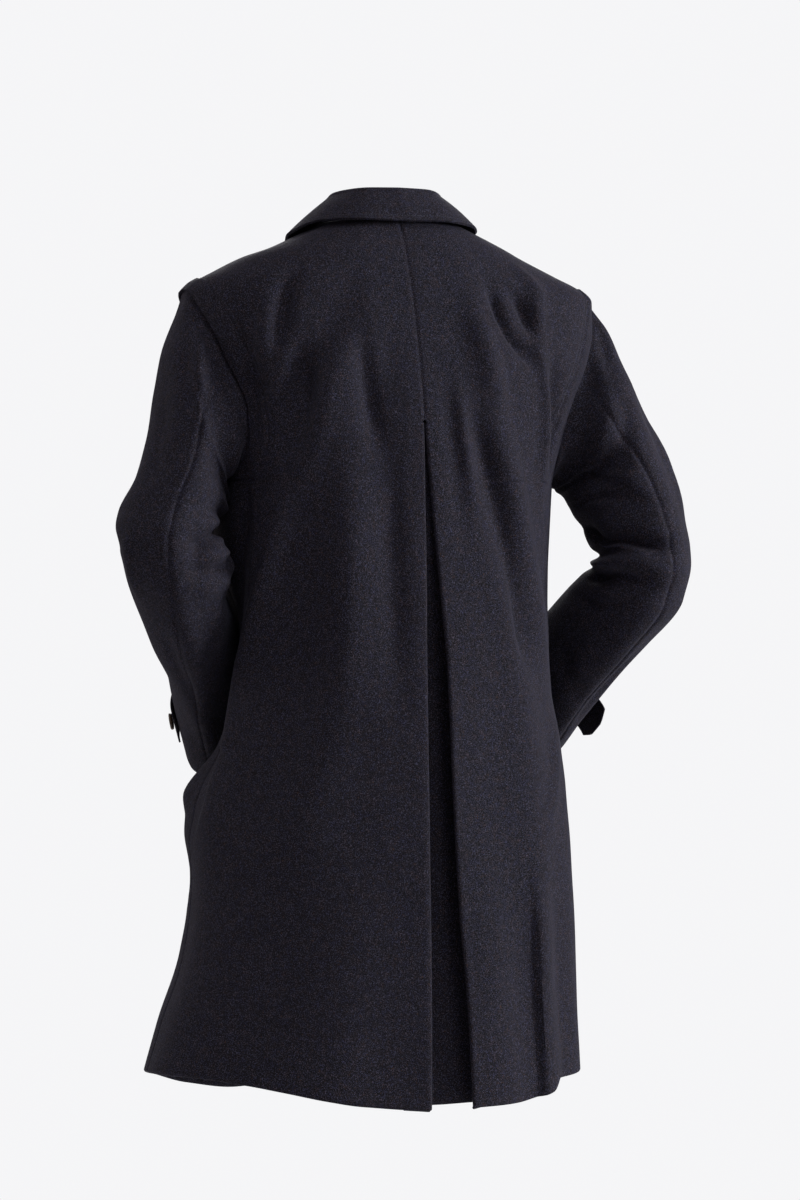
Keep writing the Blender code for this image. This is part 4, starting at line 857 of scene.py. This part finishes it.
def armhole_loop(side, angle, tuck, depth):
    """Points round an armhole: tucked under the body edge, at a depth below its face."""
    angle = (np.asarray(angle, dtype=float) + 180) % 360 - 180
    middle = (SHOULDER_TIP + UNDERARM) / 2
    half = (SHOULDER_TIP - UNDERARM) / 2
    height = middle + half * np.cos(np.radians(angle))
    centre = np.array([side * ARMHOLE_MIDDLE[0], ARMHOLE_MIDDLE[1], middle])
    loop = np.zeros(angle.shape + (3,))
    for behind in (True, False):
        chosen = angle >= 0 if behind else angle < 0
        turn = turn_of(armhole_edge(side, behind, height), behind, height)
        edge = body_at(turn, height)
        under = body_at(turn, height, depth)
        normal = body_at(turn, height, -1.0) - edge
        away = edge - centre
        away = unit(away - normal * np.sum(away * normal, axis=-1, keepdims=True))
        loop = np.where(chosen[..., None], under + away * tuck[..., None], loop)
    return loop


def sleeve_head(side, angle, share):
    """A ring of the sleeve's head: share 0 lies under the lap, 1 at its edge."""
    low = np.abs((np.asarray(angle, dtype=float) + 180) % 360 - 180)
    butted = fade(low, *BUTTED)
    inner, outer = [lapped * (1 - butted) + flush * butted
                    for lapped, flush in zip(LAPPED_TUCK, BUTTED_TUCK)]
    tuck = inner * (1 - share) + outer * share
    depth = (WALL + LAP_GAP) * (1 - butted)
    return armhole_loop(side, angle, tuck, depth)


def sleeve_grid(side, upper, columns=50, rows=210):
    """Grid of an upper or under sleeve, from its head to its turned cuff."""
    upper_arm = np.linspace(0.08, 1.4, 18)
    stations = np.concatenate([upper_arm, np.linspace(1.4, CUFF_STATION - CUFF_TURN, rows)[1:]])
    arc = np.radians([30, 60, 90, 120, 150, 180])
    cuff = CUFF_STATION - CUFF_TURN + CUFF_TURN * np.sin(arc)
    cuff_depth = HEM_RADIUS * (1 - np.cos(arc))
    back = CUFF_STATION - np.array([0.2, 0.4, 0.65, 0.9])
    stations = np.concatenate([stations, cuff, back])
    depths = np.concatenate([np.zeros(len(stations) - len(cuff) - len(back)), cuff_depth,
                             np.full(len(back), 2 * HEM_RADIUS)])
    seam_side = np.array([0, 0.006, 0.013, 0.022, 0.036])
    middle = np.linspace(0.055, 0.945, columns - 2 * len(seam_side))
    shares = np.concatenate([seam_side, middle, 1 - seam_side[::-1]])
    gap = np.degrees(SEAM_GAP * ARM_SEAM_SHARE / ARM_REACH)
    hind = SLEEVES[side_name(side)].read("hind_seam", np.concatenate([[0, 0, 0], stations]))[:, None]
    if upper:
        angles = FORE_SEAM + gap + (hind - FORE_SEAM - 2 * gap) * shares
    else:
        angles = hind + gap + (360 + FORE_SEAM - hind - 2 * gap) * shares
    head = [sleeve_head(side, angles[i], share) for i, share in enumerate((0.0, 0.5, 1.0))]
    angle = angles[3:]
    station = stations[:, None] + 0 * angle
    offset = sleeve_head(side, angles[2:3], 1.0) - sleeve_tube(side, angles[2:3], np.zeros((1, columns)))
    tube = sleeve_tube(side, angle, station, depths[:, None])
    tube = tube + offset * (1 - fade(station, 0.0, HEAD_END))[..., None]
    return np.concatenate([np.array(head), tube])


# ---------------- collar
def collar_grid(columns=190):
    """Lines of the collar round the neck: its foot, its roll line and its outer edge."""
    turns = np.linspace(-COLLAR_END, COLLAR_END, columns)
    side = np.where(turns < 0, -1.0, 1.0)
    size = np.abs(turns)
    neck_x = NECK_HALF * np.sin(np.radians(np.minimum(size, 180 - size)))
    neck = []
    for s, t, x in zip(side, size, neck_x):
        behind = t <= 90
        height = top_height(s, behind, x)
        turn = turn_of(s * x, behind, height)
        neck.append(body_at(turn, height) + np.array([0, 0, NECK_GAP]))
    roll, edge = [np.stack([COLLAR_SHIFT + side * COLLAR.read(line + "_x", size),
                            COLLAR.read(line + "_y", size),
                            COLLAR.read(line + "_z", size)], axis=-1) for line in ("roll", "edge")]
    return turns, np.array(neck), roll, edge


def collar_rows(turns, neck, roll, edge):
    """Rows of the collar: the stand, the roll as part of a circle, and the fall."""
    along = unit(np.gradient(roll, axis=0))
    out = edge - roll
    out[:, 2] = 0
    out = unit(out - along * np.sum(out * along, axis=-1, keepdims=True))
    up = np.cross(out, along)
    up = up * np.sign(up[:, 2:])

    def on_roll(degrees):
        angle = radians(degrees)
        return roll + COLLAR_ROLL * (out * np.cos(angle) + up * (np.sin(angle) - 1))

    rows = []
    for share in np.linspace(0, 1, 9)[:-1]:
        rows.append(neck * (1 - share) + on_roll(ROLL_START) * share)
    rows += [on_roll(degrees) for degrees in np.linspace(ROLL_START, ROLL_END, 13)]
    length = np.linalg.norm(edge - on_roll(ROLL_END), axis=-1, keepdims=True)
    for share in np.linspace(0, 1, 20)[1:]:
        crown = up * FALL_CROWN * np.sin(pi * share)
        place = on_roll(ROLL_END) * (1 - share) + edge * share + crown
        from_edge = (1 - share) * length
        dip = COLLAR_DENT * bump(from_edge - COLLAR_STITCH_ROW, EDGE_ROW_WIDTH)
        uneven = waves(np.radians(turns) * COLLAR_REACH, from_edge[:, 0])[:, None]
        rows.append(place + up * (0.8 * uneven * share - dip))
    return np.array(rows)


# ---------------- small pieces
def sleeve_middle(side, station):
    """Middle of a sleeve's section."""
    faces = [sleeve_tube(side, np.full(np.shape(station), angle), station)
             for angle in (0.0, 90.0, 180.0, 270.0)]
    return sum(faces) / len(faces)


def cuff_tab(side, rows=34, columns=11):
    """Grid of a blunt-pointed strap round the outer side of a cuff, off the sleeve."""
    middle_station, half_stations, spring = TABS[side_name(side)]
    length = np.linspace(0, 1, rows)[:, None]
    across = np.linspace(-1, 1, columns)[None, :]
    point = TAB_POINT * np.clip((1 - np.abs(across)) / 0.55, 0, 1)
    point = point * np.clip((length - 0.82) / 0.18, 0, 1)
    angle = TAB_START + TAB_SWEEP * length + point
    station = middle_station + half_stations * across + 0 * angle
    face = sleeve_tube(side, angle, station)
    out = unit(face - sleeve_middle(side, station))
    lift = WALL + TAB_GAP + TAB_EASE + spring * fade(length, 0.35, 1.0) + 0 * angle
    return face + out * lift[..., None]


def pocket_welt(side, rows=48, columns=14):
    """Grid of a slanted welt, made from the front's own points moved out."""
    down = np.linspace(0, 1, rows)[:, None]
    across = np.linspace(0, 1, columns)[None, :]
    x = WELT_TOP[0] + (WELT_FOOT[0] - WELT_TOP[0]) * down - WELT_WIDTH * across
    z = WELT_TOP[1] + (WELT_FOOT[1] - WELT_TOP[1]) * down + 0 * x
    near = np.minimum(across, 1 - across) * WELT_WIDTH
    depth = -(WALL + WELT_GAP) + WELT_DENT * bump(near - WELT_STITCH_ROW, EDGE_ROW_WIDTH) + 0 * x
    return body_at(turn_of(side * x, False, z), z, depth)


# ---------------- meshes
def grid_mesh(name, grid, keep=None):
    """A cloth surface from a grid of points; its first axis runs down the piece."""
    rows, columns = grid.shape[:2]
    if keep is None:
        keep = np.ones((rows - 1, columns - 1), dtype=bool)
    number = np.arange(rows * columns).reshape(rows, columns)
    faces = np.stack([number[:-1, :-1], number[:-1, 1:], number[1:, 1:], number[1:, :-1]], axis=-1)[keep]
    used, faces = np.unique(faces, return_inverse=True)
    faces = faces.reshape(-1, 4)
    points = grid.reshape(-1, 3)[used]
    mesh = bpy.data.meshes.new(name)
    mesh.vertices.add(len(points))
    mesh.vertices.foreach_set("co", points.ravel())
    mesh.loops.add(faces.size)
    mesh.loops.foreach_set("vertex_index", faces.ravel().astype(np.int32))
    mesh.polygons.add(len(faces))
    mesh.polygons.foreach_set("loop_start", np.arange(0, faces.size, 4, dtype=np.int32))
    mesh.polygons.foreach_set("use_smooth", np.ones(len(faces), dtype=bool))
    mesh.update(calc_edges=True)
    return mesh


def add_object(name, mesh, finish):
    piece = bpy.data.objects.new(name, mesh)
    mesh.materials.append(finish)
    bpy.context.scene.collection.objects.link(piece)
    return piece


def cut_size(grid, keep):
    """Widest row, longest column and area of a piece laid flat."""
    cells = np.linalg.norm(np.cross(grid[1:, :-1] - grid[:-1, :-1], grid[:-1, 1:] - grid[:-1, :-1]), axis=-1)
    if keep is not None:
        cells = cells * keep
    wide = run_along(grid)[:, -1].max()
    long = run_along(grid.swapaxes(0, 1))[:, -1].max()
    return wide, long, cells.sum()


def add_cloth(node, grid, facing_out, finish, keep=None, thickness=WALL):
    """A cloth piece: the grid is its outer face, and it thickens inwards."""
    wide, long, area = cut_size(grid, keep)
    if not facing_out:
        grid = grid[:, ::-1]
        keep = None if keep is None else keep[:, ::-1]
    piece = add_object("cloth_" + node, grid_mesh(node + "_cloth", grid, keep), finish)
    wall = piece.modifiers.new("wall", "SOLIDIFY")
    wall.thickness = thickness
    wall.offset = -1.0
    wall.use_even_offset = False
    edge = piece.modifiers.new("edge", "BEVEL")
    edge.width = thickness * EDGE_ROUND
    edge.segments = 2
    edge.limit_method = "ANGLE"
    edge.angle_limit = radians(50)
    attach(piece, "root")
    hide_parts(node)
    print("cut", node, "%.3f x %.3f m, %.4f m2" % (wide, long, area))


def line_on(grid, distance):
    """Points and outward directions along a line at a distance from a grid's last column."""
    run = run_along(grid)
    along = np.gradient(grid, axis=1)
    down = np.gradient(grid, axis=0)
    normal = unit(np.cross(along, down))
    points = []
    outs = []
    for row in range(len(grid)):
        at = run[row, -1] - distance
        points.append([np.interp(at, run[row], grid[row, :, i]) for i in range(3)])
        outs.append([np.interp(at, run[row], normal[row, :, i]) for i in range(3)])
    return np.array(points), np.array(outs)


TIP_SINK = 0.0002          # the ends of a stitch go this far into the cloth


def add_stitches(name, lines, finish, pitch=0.0040, length=0.0029, half=0.00032, sink=0.00005):
    """Sewn stitches as short tapered threads along lines of points with directions."""
    verts = []
    faces = []
    for points, outs in lines:
        step = np.linalg.norm(np.diff(points, axis=0), axis=-1)
        run = np.concatenate([[0], np.cumsum(step)])
        for start in np.arange(pitch * 0.5, run[-1] - length, pitch):
            places = [np.array([np.interp(start + length * f, run, points[:, i]) for i in range(3)])
                      for f in (0.0, 0.22, 0.78, 1.0)]
            out = np.array([np.interp(start, run, outs[:, i]) for i in range(3)])
            out = out / np.linalg.norm(out)
            way = places[3] - places[0]
            beside = np.cross(out, way)
            beside = beside / np.linalg.norm(beside)
            base = len(verts)
            verts.append(places[0] - out * TIP_SINK)
            for place in places[1:3]:
                for across, up in ((-1, 0), (0, 1), (1, 0), (0, -1)):
                    verts.append(place + beside * half * across + out * (half * up + half - sink))
            verts.append(places[3] - out * TIP_SINK)
            for i in range(4):
                j = (i + 1) % 4
                faces.append((base, base + 1 + j, base + 1 + i))
                faces.append((base + 1 + i, base + 1 + j, base + 5 + j, base + 5 + i))
                faces.append((base + 5 + i, base + 5 + j, base + 9))
    mesh = bpy.data.meshes.new(name)
    mesh.from_pydata([tuple(v) for v in verts], [], faces)
    mesh.polygons.foreach_set("use_smooth", np.ones(len(faces), dtype=bool))
    piece = add_object(name, mesh, finish)
    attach(piece, "root")


# ---------------- buttons
BUTTON_PROFILE = [         # share of the radius, share of the thickness from the back
    (0.0, 0.0), (0.70, 0.0), (0.90, 0.12), (0.985, 0.36), (1.0, 0.56), (0.975, 0.80), (0.92, 0.95),
    (0.86, 1.0), (0.79, 0.97), (0.73, 0.82), (0.66, 0.72), (0.40, 0.66), (0.0, 0.64),
]
BUTTON_SEGMENTS = 56
HOLE_SPREAD = 0.24         # shares of the radius: how far the holes lie out, each way
HOLE_SIZE = 0.105          # and the radius of a hole
THREAD_HALF = 0.00052      # half-thickness of the thread across the face
SHANK_HALF = 0.0006        # and through a hole
THREAD_LIFTS = (0.72, 0.86)    # shares of the thickness at which the two threads cross


def mesh_from(shape, name):
    """A mesh of a finished bmesh, which is freed."""
    mesh = bpy.data.meshes.new(name)
    shape.to_mesh(mesh)
    shape.free()
    return mesh


def add_rod(shape, segments, radius, length, place):
    bmesh.ops.create_cone(shape, cap_ends=True, segments=segments, radius1=radius, radius2=radius,
                          depth=length, matrix=place)


def turned_button(name, radius):
    """The button's profile, turned about its axis."""
    shape = bmesh.new()
    rings = []
    for share, level in BUTTON_PROFILE:
        count = BUTTON_SEGMENTS if share > 0 else 1
        reach = share * radius
        turns = [2 * pi * i / BUTTON_SEGMENTS for i in range(count)]
        rings.append([shape.verts.new((reach * np.cos(a), reach * np.sin(a), level * BUTTON_THICK))
                      for a in turns])
    for low, high in zip(rings[:-1], rings[1:]):
        for i in range(BUTTON_SEGMENTS):
            j = (i + 1) % BUTTON_SEGMENTS
            corners = [low[i % len(low)], low[j % len(low)], high[j % len(high)], high[i % len(high)]]
            shape.faces.new(list(dict.fromkeys(corners)))
    bmesh.ops.recalc_face_normals(shape, faces=shape.faces)
    mesh = mesh_from(shape, name)
    mesh.polygons.foreach_set("use_smooth", np.ones(len(mesh.polygons), dtype=bool))
    return mesh


def drill_holes(button, radius, spread):
    """Cuts the four holes through a button."""
    drills = bmesh.new()
    for x, y in ((1, 1), (-1, 1), (-1, -1), (1, -1)):
        place = Matrix.Translation((x * spread, y * spread, BUTTON_THICK / 2))
        add_rod(drills, 14, radius * HOLE_SIZE, BUTTON_THICK * 3, place)
    drill = bpy.data.objects.new("drill", mesh_from(drills, "drill"))
    bpy.context.scene.collection.objects.link(drill)
    cut = button.modifiers.new("holes", "BOOLEAN")
    cut.object = drill
    cut.solver = "EXACT"
    bpy.context.view_layer.update()
    drilled = button.evaluated_get(bpy.context.evaluated_depsgraph_get())
    cut_mesh = bpy.data.meshes.new_from_object(drilled)
    button.modifiers.clear()
    button.data = cut_mesh
    bpy.data.objects.remove(drill, do_unlink=True)


def sewing_thread(name, spread):
    """Two threads crossed over a button's face, and the four that go down its holes."""
    threads = bmesh.new()
    for corner, level in zip(((1, 1), (-1, 1)), THREAD_LIFTS):
        ends = [Vector((way * corner[0] * spread, way * corner[1] * spread, 0)) for way in (1, -1)]
        along = ends[1] - ends[0]
        turn = along.to_track_quat("Z", "Y").to_matrix().to_4x4()
        middle = (ends[0] + ends[1]) / 2 + Vector((0, 0, BUTTON_THICK * level))
        add_rod(threads, 10, THREAD_HALF, along.length, Matrix.Translation(middle) @ turn)
        for end in ends:
            place = Matrix.Translation(end + Vector((0, 0, BUTTON_THICK * 0.36)))
            add_rod(threads, 10, SHANK_HALF, BUTTON_THICK + 0.0012, place)
    return mesh_from(threads, name)


def add_button(node, point, out, radius, horn, thread):
    """A sewn-on horn button with a raised rim, a dished face, four holes and its thread."""
    spread = radius * HOLE_SPREAD
    button = add_object("turned_" + node, turned_button(node + "_turned", radius), horn)
    drill_holes(button, radius, spread)
    sewing = add_object("thread_" + node, sewing_thread(node + "_thread", spread), thread)
    place = Matrix.Translation(Vector(point)) @ Vector(out).to_track_quat("Z", "Y").to_matrix().to_4x4()
    for piece in (button, sewing):
        piece.data.transform(place)
        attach(piece, "root")
    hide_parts(node)


def add_front_buttons(horn, thread):
    for number, height in enumerate(BUTTON_HEIGHTS, start=1):
        turn = turn_of(0.0, False, height)
        point = body_at(turn, height, -BUTTON_GAP)
        out = body_at(turn, height, -1.0) - body_at(turn, height)
        add_button("front_button_%d" % number, point, out / np.linalg.norm(out), BUTTON_RADIUS, horn, thread)


def add_cuff_button(side, grid, horn, thread):
    middle = grid.shape[1] // 2
    row = len(grid) - TAB_BUTTON_ROW
    point = grid[row, middle]
    down = grid[row + 2, middle] - grid[row - 2, middle]
    across = grid[row, middle + 2] - grid[row, middle - 2]
    out = np.cross(down, across) * -side
    out = out / np.linalg.norm(out)
    place = point + out * BUTTON_GAP
    add_button("cuff_button_" + side_name(side), place, out, CUFF_BUTTON_RADIUS, horn, thread)


# ---------------- finishes
def set_inputs(node, values):
    """Sets a node's sockets to numbers or colours."""
    for name, value in values.items():
        node.inputs[name].default_value = value
    return node


class Nodes:
    """Short way to build a material from nodes."""

    def __init__(self, name):
        self.finish = bpy.data.materials.new(name)
        self.finish.use_nodes = True
        self.tree = self.finish.node_tree
        self.shader = self.tree.nodes["Principled BSDF"]
        self.place = self.add("ShaderNodeTexCoord").outputs["Object"]

    def add(self, kind, **settings):
        node = self.tree.nodes.new(kind)
        for name, value in settings.items():
            setattr(node, name, value)
        return node

    def link(self, start, end):
        self.tree.links.new(start, end)

    def feed(self, socket, output):
        """Feeds one of the shader's sockets from a node."""
        self.link(output, self.shader.inputs[socket])

    def noise(self, scale, detail=2.0, rough=0.5, place=None):
        node = self.add("ShaderNodeTexNoise")
        set_inputs(node, {"Scale": scale, "Detail": detail, "Roughness": rough})
        self.link(place or self.place, node.inputs["Vector"])
        return node.outputs["Fac"]

    def stretched(self, scale):
        node = set_inputs(self.add("ShaderNodeMapping"), {"Scale": scale})
        self.link(self.place, node.inputs["Vector"])
        return node.outputs["Vector"]

    def ramp(self, fac, stops):
        node = self.add("ShaderNodeValToRGB")
        points = node.color_ramp.elements
        while len(points) < len(stops):
            points.new(0.5)
        for point, (at, colour) in zip(points, stops):
            point.position = at
            point.color = (*colour, 1.0)
        self.link(fac, node.inputs["Fac"])
        return node.outputs["Color"]

    def mix(self, fac, a, b, kind="MIX"):
        node = self.add("ShaderNodeMix", data_type="RGBA", blend_type=kind)
        if isinstance(fac, float):
            node.inputs[0].default_value = fac
        else:
            self.link(fac, node.inputs[0])
        for socket, value in ((node.inputs[6], a), (node.inputs[7], b)):
            if isinstance(value, tuple):
                socket.default_value = (*value, 1.0)
            else:
                self.link(value, socket)
        return node.outputs[2]

    def bump(self, height, strength, distance, after=None):
        node = self.add("ShaderNodeBump")
        set_inputs(node, {"Strength": strength, "Distance": distance})
        self.link(height, node.inputs["Height"])
        if after is not None:
            self.link(after, node.inputs["Normal"])
        return node.outputs["Normal"]


BLACK = (0, 0, 0)
WHITE = (1, 1, 1)


def grey(value):
    return (value, value, value)


def melton_finish():
    """Dark navy melange melton: fine blue, grey and a few brown flecks under a soft nap."""
    n = Nodes("melton_navy")
    slow = n.noise(7.0, 3.0, 0.55)
    base = n.ramp(slow, [(0.30, (0.0044, 0.0038, 0.0058)), (0.70, (0.0063, 0.0055, 0.0083))])
    tint = n.ramp(n.noise(150.0, 1.0, 0.5),
                  [(0.35, (0.62, 0.62, 0.95)), (0.50, (0.80, 0.80, 1.0)), (0.65, (0.98, 0.80, 0.86))])
    pale = n.ramp(n.noise(1050.0, 2.0, 0.70), [(0.525, BLACK), (0.645, WHITE)])
    light = n.mix(1.0, tint, (0.080, 0.080, 0.106), "MULTIPLY")
    flecked = n.mix(pale, base, light)
    dark = n.ramp(n.noise(880.0, 1.0, 0.6), [(0.34, WHITE), (0.46, BLACK)])
    flecked = n.mix(dark, flecked, (0.0018, 0.0015, 0.0022))
    brown = n.ramp(n.noise(520.0, 1.0, 0.5), [(0.69, BLACK), (0.73, WHITE)])
    flecked = n.mix(brown, flecked, (0.040, 0.022, 0.017))
    n.feed("Base Color", flecked)
    rough = n.ramp(n.noise(300.0, 2.0, 0.5), [(0.3, grey(0.80)), (0.7, grey(0.96))])
    n.feed("Roughness", rough)
    set_inputs(n.shader, {"Specular IOR Level": 0.16, "Sheen Weight": 0.035, "Sheen Roughness": 0.36,
                          "Sheen Tint": (0.60, 0.62, 0.90, 1.0)})
    fibres = n.noise(1500.0, 3.0, 0.65)
    clumps = n.noise(330.0, 2.0, 0.6)
    soft = n.noise(38.0, 2.0, 0.5)
    normal = n.bump(soft, 0.30, 0.0030)
    normal = n.bump(clumps, 0.50, 0.0008, normal)
    normal = n.bump(fibres, 0.65, 0.0005, normal)
    n.feed("Normal", normal)
    return n.finish


def thread_finish():
    n = Nodes("thread_navy")
    tone = n.ramp(n.noise(900.0, 2.0, 0.5), [(0.3, (0.010, 0.011, 0.019)), (0.7, (0.026, 0.028, 0.042))])
    n.feed("Base Color", tone)
    set_inputs(n.shader, {"Roughness": 0.62})
    n.feed("Normal", n.bump(n.noise(2600.0, 1.0, 0.5), 0.4, 0.0003))
    return n.finish


def horn_finish():
    """Dark horn: brown with streaks, satin."""
    n = Nodes("horn_dark")
    streaks = n.noise(1.0, 4.0, 0.6, n.stretched((90.0, 90.0, 420.0)))
    tone = n.ramp(streaks, [(0.30, (0.020, 0.012, 0.007)), (0.52, (0.060, 0.036, 0.020)),
                            (0.75, (0.135, 0.090, 0.050))])
    n.feed("Base Color", tone)
    gloss = n.ramp(n.noise(420.0, 2.0, 0.5), [(0.3, grey(0.30)), (0.7, grey(0.46))])
    n.feed("Roughness", gloss)
    n.feed("Normal", n.bump(n.noise(700.0, 2.0, 0.5), 0.12, 0.0004))
    return n.finish


def plaster_finish():
    n = Nodes("studio_floor")
    tone = n.ramp(n.noise(3.0, 3.0, 0.5), [(0.3, grey(0.78)), (0.7, grey(0.82))])
    n.feed("Base Color", tone)
    set_inputs(n.shader, {"Roughness": 0.8})
    return n.finish


# ---------------- the coat
melton = melton_finish()
thread = thread_finish()
horn = horn_finish()

for name, side in (("left", 1), ("right", -1)):
    back, keep, fold_columns = back_panel(side)
    add_cloth("back_" + name, back, side > 0, melton, keep)
    front = front_panel(side)
    add_cloth("front_" + name, front, side < 0, melton)
    upper = sleeve_grid(side, True)
    add_cloth("sleeve_upper_" + name, upper, side < 0, melton)
    under = sleeve_grid(side, False)
    add_cloth("sleeve_under_" + name, under, side < 0, melton)
    tab = cuff_tab(side)
    add_cloth("cuff_tab_" + name, tab, side > 0, melton)
    welt = pocket_welt(side)
    add_cloth("pocket_welt_" + name, welt, side > 0, melton)
    add_cuff_button(side, tab, horn, thread)
    lines = []
    for grid, first, flip in ((back, fold_columns, side), (front, 0, -side)):
        for distance in STITCH_ROWS:
            points, outs = line_on(grid[:UPPER_ROWS - UNSTITCHED_ROWS, first:], distance)
            lines.append((points, outs * -flip))
    add_stitches("armhole_stitching_" + name, lines, thread)

add_cloth("pleat_underlay", pleat_underlay(), True, melton)
turns, neck, roll, edge = collar_grid()
collar = collar_rows(turns, neck, roll, edge)
add_cloth("collar", collar, True, melton, thickness=COLLAR_WALL)
points, outs = line_on(collar.swapaxes(0, 1)[3:-3], COLLAR_STITCH_ROW)
add_stitches("collar_stitching", [(points, outs * -1)], thread)
add_front_buttons(horn, thread)

# ---------------- studio
FLOOR_HALF = 1.3           # half the width of the floor
FLOOR_LEVEL = -1.46        # its height, under the hem of a worn coat
floor_mesh = bpy.data.meshes.new("floor")
floor_corners = [(FLOOR_HALF * x, FLOOR_HALF * y, FLOOR_LEVEL)
                 for x, y in ((-1, -1), (1, -1), (1, 1), (-1, 1))]
floor_mesh.from_pydata(floor_corners, [], [(0, 1, 2, 3)])
add_object("floor", floor_mesh, plaster_finish())

world = bpy.data.worlds.new("studio")
bpy.context.scene.world = world
world.use_nodes = True
sky = world.node_tree

# The camera sees a plain pale wall; what lights the coat is a little brighter from -Y.
shown = set_inputs(sky.nodes["Background"], {"Color": (0.985, 0.985, 1.0, 1.0), "Strength": WALL_BRIGHT})
lit = set_inputs(sky.nodes.new("ShaderNodeBackground"), {"Color": (1.0, 0.90, 0.93, 1.0)})
coords = sky.nodes.new("ShaderNodeTexCoord")
split = sky.nodes.new("ShaderNodeSeparateXYZ")
shade = set_inputs(sky.nodes.new("ShaderNodeMapRange"), {
    "From Min": -0.95, "From Max": -0.35, "To Min": WORLD_BRIGHT, "To Max": WORLD_DIM})
shade.interpolation_type = "SMOOTHSTEP"
seen = sky.nodes.new("ShaderNodeLightPath")
either = sky.nodes.new("ShaderNodeMixShader")
for output, socket in (
        (coords.outputs["Generated"], split.inputs[0]),
        (split.outputs["Y"], shade.inputs["Value"]),
        (shade.outputs["Result"], lit.inputs["Strength"]),
        (seen.outputs["Is Camera Ray"], either.inputs[0]),
        (lit.outputs[0], either.inputs[1]),
        (shown.outputs[0], either.inputs[2]),
        (either.outputs[0], sky.nodes["World Output"].inputs["Surface"])):
    sky.links.new(output, socket)


def add_light(name, place, aim, size, watts, colour):
    lamp = bpy.data.lights.new(name, "AREA")
    lamp.shape = "SQUARE"
    lamp.size = size
    lamp.energy = watts
    lamp.color = colour
    holder = bpy.data.objects.new(name, lamp)
    holder.location = place
    holder.rotation_euler = (Vector(aim) - Vector(place)).to_track_quat("-Z", "Y").to_euler()
    bpy.context.scene.collection.objects.link(holder)


for row in LIGHTS:
    add_light(*row)

# ---------------- camera
TARGET = Vector((-0.0176, 0.0050, -0.445))
VIEW_TURN = radians(16)
VIEW_DISTANCE = 4.2
FOCAL_LENGTH = 103.32      # millimetres, on a frame 36 mm high
lens = bpy.data.cameras.new("camera")
lens.sensor_fit = "VERTICAL"
lens.sensor_width = 36.0
lens.sensor_height = 36.0
lens.lens = FOCAL_LENGTH
camera = bpy.data.objects.new("camera", lens)
camera.location = TARGET + VIEW_DISTANCE * Vector((np.sin(VIEW_TURN), np.cos(VIEW_TURN), 0.0))
camera.rotation_euler = (TARGET - camera.location).to_track_quat("-Z", "Y").to_euler()
bpy.context.scene.collection.objects.link(camera)
bpy.context.scene.camera = camera
bpy.context.scene.view_settings.view_transform = "Standard"
